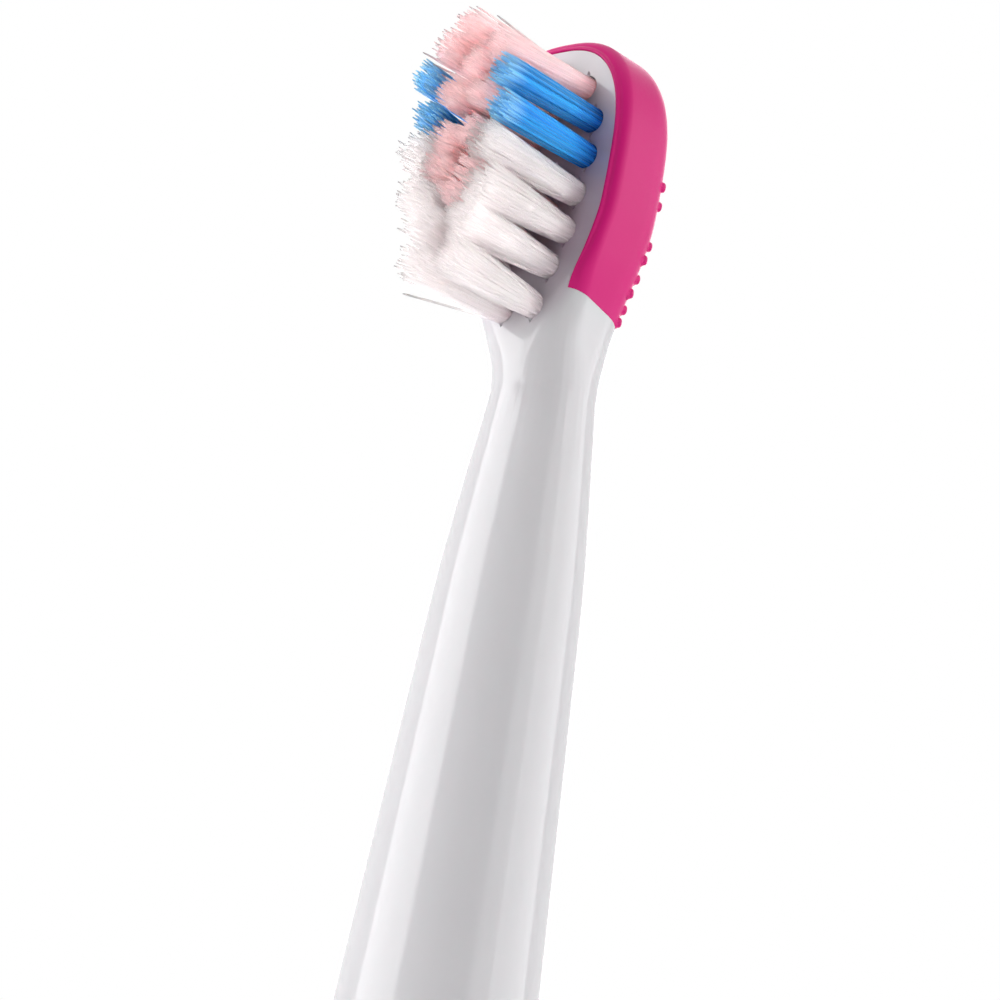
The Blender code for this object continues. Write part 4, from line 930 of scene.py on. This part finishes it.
def strand(vertices, faces, place, root, tip, bend, start, end, radius):
    # One few-sided strand, which leans outwards more and more
    sides, rows = strandShape["sides"], []
    for at, slim in strandShape["rings"]:
        lean = at**bend
        x, z = (place[k] + root[k] + (tip[k] - root[k]) * lean for k in (0, 1))
        rows.append(around(len(vertices), sides))
        for i in range(sides):
            angle = math.tau * i / sides
            across, up = radius * slim * math.cos(angle), radius * slim * math.sin(angle)
            vertices.append((x + across, start + (end - start) * at, z + up))
    faces += strips(rows)
    faces += [rows[0][-2::-1], rows[-1][:-1]]


def makeTufts(name, colour, seed):
    print(name)
    chance = random.Random(seed)
    shape = strandShape
    vertices, faces, tones = [], [], []
    face = -headShape["flare"][-1][2]
    start = face + shape["rootDepth"]
    count, radius, tipRadius = (shape[key][colour] for key in ("count", "radius", "tipRadius"))
    for x, z, *sway in tuftPlaces[name]:
        turn = chance.uniform(0, math.tau)
        for i in range(count):
            share = math.sqrt((i + 0.5) / count)
            angle = turn + i * math.pi * (3 - math.sqrt(5))
            out = share * math.cos(angle), share * math.sin(angle)
            jitter = shape["tipJitter"][colour]
            if chance.random() < shape["strayShare"] and share > shape["strayFrom"]:
                jitter = shape["strayJitter"]
            root = [value * shape["rootRadius"] for value in out]
            tip = [out[k] * tipRadius + chance.gauss(0, jitter) + sway[k] for k in (0, 1)]
            end = face - (shape["length"] + chance.uniform(*shape["lengthSpread"]))
            bend = chance.uniform(*shape["bend"])
            strand(vertices, faces, (x, z), root, tip, bend, start, end, radius)
            tones.append(chance.random())
    piece = newPiece(name, vertices, faces)
    along = [at for at, _ in shape["rings"] for _ in range(shape["sides"])]
    for label, values in (
        ("along", along * len(tones)), ("tone", [tone for tone in tones for _ in along])
    ):
        piece.data.attributes.new(label, "FLOAT", "POINT").data.foreach_set("value", values)
    choose(piece)
    mode("EDIT")
    turnOutwards()
    return piece


# Handle, in millimetres
handleShape = {
    "length": 168.0, "radius": 13.938, "wall": 2.4, "low": 2.3, "top": 164.0, "widest": 0.39,
    "topWall": 3.5, "sealHole": 4.9, "rings": 64, "boreRings": 12, "steps": 144,
    "largest": 0.9995,
    # radius at each share of the length, as a share of the largest
    "profile": (
        (0.000, 0.907), (0.014, 0.930), (0.090, 0.971), (0.240, 1.000), (0.390, 1.000),
        (0.535, 0.973), (0.655, 0.921), (0.775, 0.835), (0.865, 0.741), (0.940, 0.644),
        (0.976, 0.590), (1.000, 0.525),
    ),
    # the ends' rounding: in from the surface and up from the end, then where the rings start
    "rounding": ((0.22, 0.0), (0.05, 0.07)), "ringsFrom": 0.25,
}
noseShape = {
    "height": 3.7, "wall": 2.8, "rounding": 0.45, "chamfer": 0.3, "footInset": 0.15,
    "ringsFrom": 0.2, "ringsTo": 3.1, "rings": 8,
}
capShape = {
    "plate": 2.0, "spigotTop": 11.2, "spigotWall": 2.6, "spigotGap": 0.3, "grooveDepth": 1.3,
    "groove": (5.5, 7.7), "socketRadius": 4.2, "socketDepth": 10.0, "socketWall": 1.2,
    "middle": 0.4, "socketChamfer": 0.35, "chamfer": 0.15,
}
shaftShape = {
    "radius": 1.5, "middle": 0.2, "chamfer": 0.15, "tipRound": (0.12, 0.4),
    "flatAt": (-2.2, -4.0), "flatSize": (5.0, 2.0, 10.0),
}
# half-width, low and high ends, side along Y
gripShapes = {
    "frontGrip": (8.0, 40.0, 126.0, -1), "backGrip": (8.8, 30.0, 134.0, 1),
    "proud": 0.19, "deep": 1.0, "line": 0.06, "edgeRound": 0.16,
    # the cutting blocks run from near the axis to past the surface, the bands past the ends
    "near": 2.0, "past": 4.0, "overrun": 2.0, "bandRings": 44,
}
buttonShape = {
    "height": 112.0, "radius": 5.0, "gap": 0.35, "thickness": 0.9, "wellDepth": 1.8, "ahead": 2.0,
    "stemHole": 2.2, "stemDepth": 6.0, "stemAt": -11.0,
}
lensShape = {
    "height": 92.0, "halfWidth": 1.0, "halfHeight": 3.5, "gap": 0.08, "windowEnd": -8.0,
    "edgeRound": 0.18,
}


def handleRadius(height):
    share = curveThrough(handleShape["profile"], height / handleShape["length"])
    return handleShape["radius"] * min(share, handleShape["largest"])


def softened(points):
    # Points with a third value get a corner rounded by that much
    done = []
    for k, point in enumerate(points):
        if len(point) == 2:
            done.append(point)
            continue
        corner, reach = Vector(point[:2]), point[2]
        before = (Vector(points[k - 1][:2]) - corner).normalized() * reach + corner
        after = (Vector(points[(k + 1) % len(points)][:2]) - corner).normalized() * reach + corner
        for t in (0.0, 0.25, 0.5, 0.75, 1.0):
            done.append(tuple(before * (1 - t) ** 2 + corner * 2 * t * (1 - t) + after * t * t))
    return done


def ringByRing(name, profile, steps, closed=True):
    # A circle extruded and resized through a profile of (radius, height) points
    deselect()
    radius, height = profile[0]
    bpy.ops.mesh.primitive_circle_add(
        vertices=steps, radius=radius * mm, location=(0, 0, height * mm), fill_type="NOTHING"
    )
    piece = bpy.context.object
    piece.name = name
    mode("EDIT")
    bpy.ops.mesh.select_all(action="SELECT")
    for nextRadius, nextHeight in profile[1:]:
        bpy.ops.mesh.extrude_region_move(
            TRANSFORM_OT_translate={"value": (0, 0, (nextHeight - height) * mm)}
        )
        share = nextRadius / radius
        bpy.ops.transform.resize(value=(share, share, 1))
        radius, height = nextRadius, nextHeight
    bpy.ops.mesh.select_all(action="DESELECT")
    bpy.ops.mesh.select_non_manifold(extend=False)
    if closed:
        bpy.ops.mesh.bridge_edge_loops()
    else:
        bpy.ops.mesh.fill_holes(sides=0)
    bpy.ops.mesh.select_all(action="SELECT")
    bpy.ops.mesh.remove_doubles(threshold=0.000001)
    turnOutwards()
    settle(piece)
    return piece


def rodAlongY(radius, depth, y, z, sides=96, x=0.0):
    deselect()
    bpy.ops.mesh.primitive_cylinder_add(
        vertices=sides, radius=radius * mm, depth=depth * mm, rotation=(math.radians(90), 0, 0),
        location=(x * mm, y * mm, z * mm),
    )
    rod = bpy.context.object
    settle(rod)
    return rod


def slotBlock(halfWidth, low, high, front, back):
    # A round rod along Y whose upper and lower halves are moved apart
    centre = (low + high) / 2
    block = rodAlongY(halfWidth, abs(back - front), (front + back) / 2, centre)
    for side in (-1, 1):
        pick(block, lambda place: side * (place.z - centre * mm) > 0.00001)
        bpy.ops.transform.translate(value=(0, 0, side * ((high - low) / 2 - halfWidth) * mm))
        mode("OBJECT")
    return block


def skinBand(name, low, high, outside, inside):
    # A ring that follows the handle's surface between two offsets
    steps = gripShapes["bandRings"]
    heights = [low + (high - low) * i / steps for i in range(steps + 1)]
    outer = [(handleRadius(z) + outside, z) for z in heights]
    inner = [(handleRadius(z) - inside, z) for z in reversed(heights)]
    return ringByRing(name, outer + inner, handleShape["steps"])


def bevelEdges(piece, width, angle, segments):
    modifier = piece.modifiers.new("edges", "BEVEL")
    modifier.width = width * mm
    modifier.segments = segments
    modifier.limit_method = "ANGLE"
    modifier.angle_limit = math.radians(angle)
    modifier.use_clamp_overlap = True
    applyModifiers(piece)


def makeShell():
    shape = handleShape
    low, top = shape["low"], shape["top"]
    start, count = shape["ringsFrom"], shape["rings"]
    outer = [(handleRadius(low) - inset, low + rise) for inset, rise in shape["rounding"]]
    for i in range(count + 1):
        z = low + start + (top - low - start * 2) * i / count
        outer.append((handleRadius(z), z))
    for inset, drop in reversed(shape["rounding"]):
        outer.append((handleRadius(top) - inset, top - drop))
    boreTop = top - shape["topWall"]
    bore = shape["radius"] - shape["wall"]
    widest = shape["length"] * shape["widest"]
    inner = [(shape["sealHole"], top), (shape["sealHole"], boreTop)]
    for i in range(shape["boreRings"]):
        z = boreTop + (widest - boreTop) * i / shape["boreRings"]
        inner.append((handleRadius(z) - shape["wall"], z))
    inner += [(bore, widest), (bore, low)]
    return ringByRing("handleShell", outer + inner, shape["steps"])


def makeGrip(name, shell):
    # The grip, and the pocket for it in the shell
    halfWidth, low, high, side = gripShapes[name]
    deep, line, overrun = (gripShapes[key] for key in ("deep", "line", "overrun"))
    far, near = side * (handleShape["radius"] + gripShapes["past"]), side * gripShapes["near"]
    grip = skinBand(name, low - overrun, high + overrun, gripShapes["proud"], deep)
    cutAway(grip, slotBlock(halfWidth, low, high, far, near), "INTERSECT")
    room = skinBand("pocket", low - overrun, high + overrun, overrun, deep + line)
    cutAway(room, slotBlock(halfWidth + line, low - line, high + line, far, near), "INTERSECT")
    cutAway(shell, room)
    return grip


def makeHandle():
    print("handle shell and grips")
    shell = makeShell()
    grips = [makeGrip(name, shell) for name in ("frontGrip", "backGrip")]
    cutFrontOpenings(shell, grips[0])
    for grip, node in zip(grips, ("front_grip", "back_grip")):
        bevelEdges(grip, gripShapes["edgeRound"], 50, 2)
        finishPiece(grip, 40, "soft_pink", "handle", node)
    finishPiece(shell, 30, "shell_plastic", "handle", "handle_shell")


def cutFrontOpenings(shell, grip):
    # The button's well and the lens's window go through the grip into the shell
    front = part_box("power_button")[0].y / mm
    button, lens = buttonShape, lensShape
    ahead, deep, height = button["ahead"], button["wellDepth"], button["height"]
    tall = lens["halfHeight"] + lens["gap"]
    for piece in (shell, grip):
        middle = front + (deep - ahead) / 2
        cutAway(piece, rodAlongY(button["radius"] + button["gap"], ahead + deep, middle, height))
        cutAway(piece, slotBlock(
            lens["halfWidth"] + lens["gap"], lens["height"] - tall, lens["height"] + tall,
            front - ahead, lens["windowEnd"],
        ))
    cutAway(shell, rodAlongY(button["stemHole"], button["stemDepth"], button["stemAt"], height, 32))


def makeButton():
    print("button and lens")
    low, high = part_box("power_button")
    thick, radius = buttonShape["thickness"], buttonShape["radius"]
    stem = (high.y - low.y) / mm - thick
    profile = softened([
        (0.3, thick - 0.2), (1.6, thick - 0.185), (2.7, thick - 0.12), (3.6, thick - 0.01),
        (4.1, thick), (radius - 0.05, thick - 0.16, 0.28), (radius, 0.2), (radius - 0.15, 0.0),
        (2.6, 0.0), (2.4, 0.06), (1.0, 0.06), (1.0, 0.2 - stem), (0.8, -stem),
    ])
    button = ringByRing("powerButton", profile, 96, False)
    button.rotation_euler = (math.radians(90), 0, 0)
    button.location = (0, low.y + thick * mm, buttonShape["height"] * mm)
    settle(button)
    finishPiece(button, 35, "shell_plastic", "button", "power_button")
    low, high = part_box("indicator_lens")
    half, tall, height = (lensShape[key] for key in ("halfWidth", "halfHeight", "height"))
    lens = slotBlock(half, height - tall, height + tall, low.y / mm, high.y / mm)
    lens.name = "indicatorLens"
    bevelEdges(lens, lensShape["edgeRound"], 60, 3)
    finishPiece(lens, 35, "lens_plastic", "handle", "indicator_lens")


def makeNoseRing():
    print("nose ring")
    shape, high = noseShape, handleShape["length"]
    low = high - shape["height"]
    rim, foot = handleRadius(high), handleRadius(low)
    inner = rim - shape["wall"]
    steps, chamfer = shape["rings"], shape["chamfer"]
    start, end = low + shape["ringsFrom"], low + shape["ringsTo"]
    heights = [start + (end - start) * i / steps for i in range(steps + 1)]
    profile = [(inner, low), (foot - shape["footInset"], low)]
    profile += [(handleRadius(z), z) for z in heights]
    profile += softened([profile[-1], (rim, high, shape["rounding"]), (inner, high)])[1:-1]
    profile += [(inner + chamfer, high), (inner, high - chamfer)]
    ring = ringByRing("noseRing", profile, handleShape["steps"])
    finishPiece(ring, 35, "trim_plastic", "handle", "nose_ring")


def makeBaseCap():
    print("base cap")
    shape = capShape
    socket, boss = shape["socketRadius"], shape["socketRadius"] + shape["socketWall"]
    spigot = handleShape["radius"] - handleShape["wall"] - shape["spigotGap"]
    inside, groove = spigot - shape["spigotWall"], spigot - shape["grooveDepth"]
    plate, top, deep = shape["plate"], shape["spigotTop"], shape["socketDepth"]
    rim, foot = handleRadius(plate), handleRadius(0.0)
    roof = deep + shape["socketWall"]
    grooveLow, grooveHigh = shape["groove"]
    entry, edge = shape["socketChamfer"], shape["chamfer"]
    profile = softened([
        (shape["middle"], deep), (socket, deep, 0.5), (socket, entry), (socket + entry, 0.0),
        (foot - 0.5, 0.0), (foot - 0.02, 0.42, 0.3), (rim, plate - edge), (rim - edge, plate),
        (spigot, plate), (spigot, grooveLow), (groove, grooveLow), (groove, grooveHigh),
        (spigot, grooveHigh), (spigot, top, 0.3), (inside, top), (inside, plate), (boss, plate),
        (boss, roof, 0.4), (shape["middle"], roof),
    ])
    cap = ringByRing("baseCap", profile, handleShape["steps"], False)
    finishPiece(cap, 35, "trim_plastic", "handle", "base_cap")


def makeShaft():
    print("drive shaft")
    low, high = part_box("drive_shaft")
    foot, tip = low.z / mm, high.z / mm
    radius, middle, edge = (shaftShape[key] for key in ("radius", "middle", "chamfer"))
    little, much = shaftShape["tipRound"]
    shaft = ringByRing("driveShaft", [
        (middle, foot), (radius - edge, foot), (radius, foot + edge), (radius, tip - much),
        (radius - little, tip - little), (radius - much, tip), (middle, tip),
    ], 64, False)
    ahead, down = shaftShape["flatAt"]
    deselect()
    bpy.ops.mesh.primitive_cube_add(
        size=1, location=(0, ahead * mm, (tip + down) * mm),
        scale=[side * mm for side in shaftShape["flatSize"]],
    )
    flat = bpy.context.object
    settle(flat)
    cutAway(shaft, flat)
    finishPiece(shaft, 30, "bright_steel", "drive", "drive_shaft")


addCamera()
addLamps()
addWorld()
addFloor()

neck = makeNeck()
cutTuftHoles(neck)
finishPiece(neck, 30, "head_plastic", "brush_head", "neck_shell")
cover = makeCover()
addNubs(cover)
finishPiece(cover, 40, "soft_pink", "brush_head", "head_cover")
for name, colour, node, seed in (
    ("pinkTufts", "pink", "pink_tufts", 11), ("whiteTufts", "white", "white_tufts", 23),
    ("blueTuftsLeft", "blue", "blue_tufts_left", 37),
    ("blueTuftsRight", "blue", "blue_tufts_right", 41),
):
    tufts = makeTufts(name, colour, seed)
    finishPiece(tufts, 60, colour + "_filament", "brush_head", node)

makeHandle()
makeButton()
makeNoseRing()
makeBaseCap()
makeShaft()

# The CAD nodes that stay get their own finishes
keptNodes = {
    "seal_rubber": ("shaft_seal", "base_seal", "button_seal", "rear_damper", "front_damper"),
    "copper_wire": ("charging_coil", "drive_coil"),
    "dark_plastic": ("chassis", "control_chip", "charge_chip", "power_switch"),
    "cell_wrap": ("battery_cell",),
    "nickel_strip": ("battery_tab_bottom", "battery_tab_top"),
    "board_laminate": ("circuit_board",),
    "led_plastic": ("status_led",),
    "bright_steel": (
        "board_screw_bottom", "board_screw_top", "motor_end_plate", "motor_frame", "socket_clip",
    ),
    "soft_iron": ("stator_yoke",),
    "inner_plastic": ("coil_bobbin", "rotor_holder", "head_insert", "shaft_socket"),
    "bearing_bronze": ("rear_bearing", "front_bearing"),
    "magnet_plating": ("magnet_left", "magnet_right"),
}
for finish, nodes in keptNodes.items():
    for node in nodes:
        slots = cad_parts[node].data.materials
        slots.clear()
        slots.append(finishes[finish])

print("done")
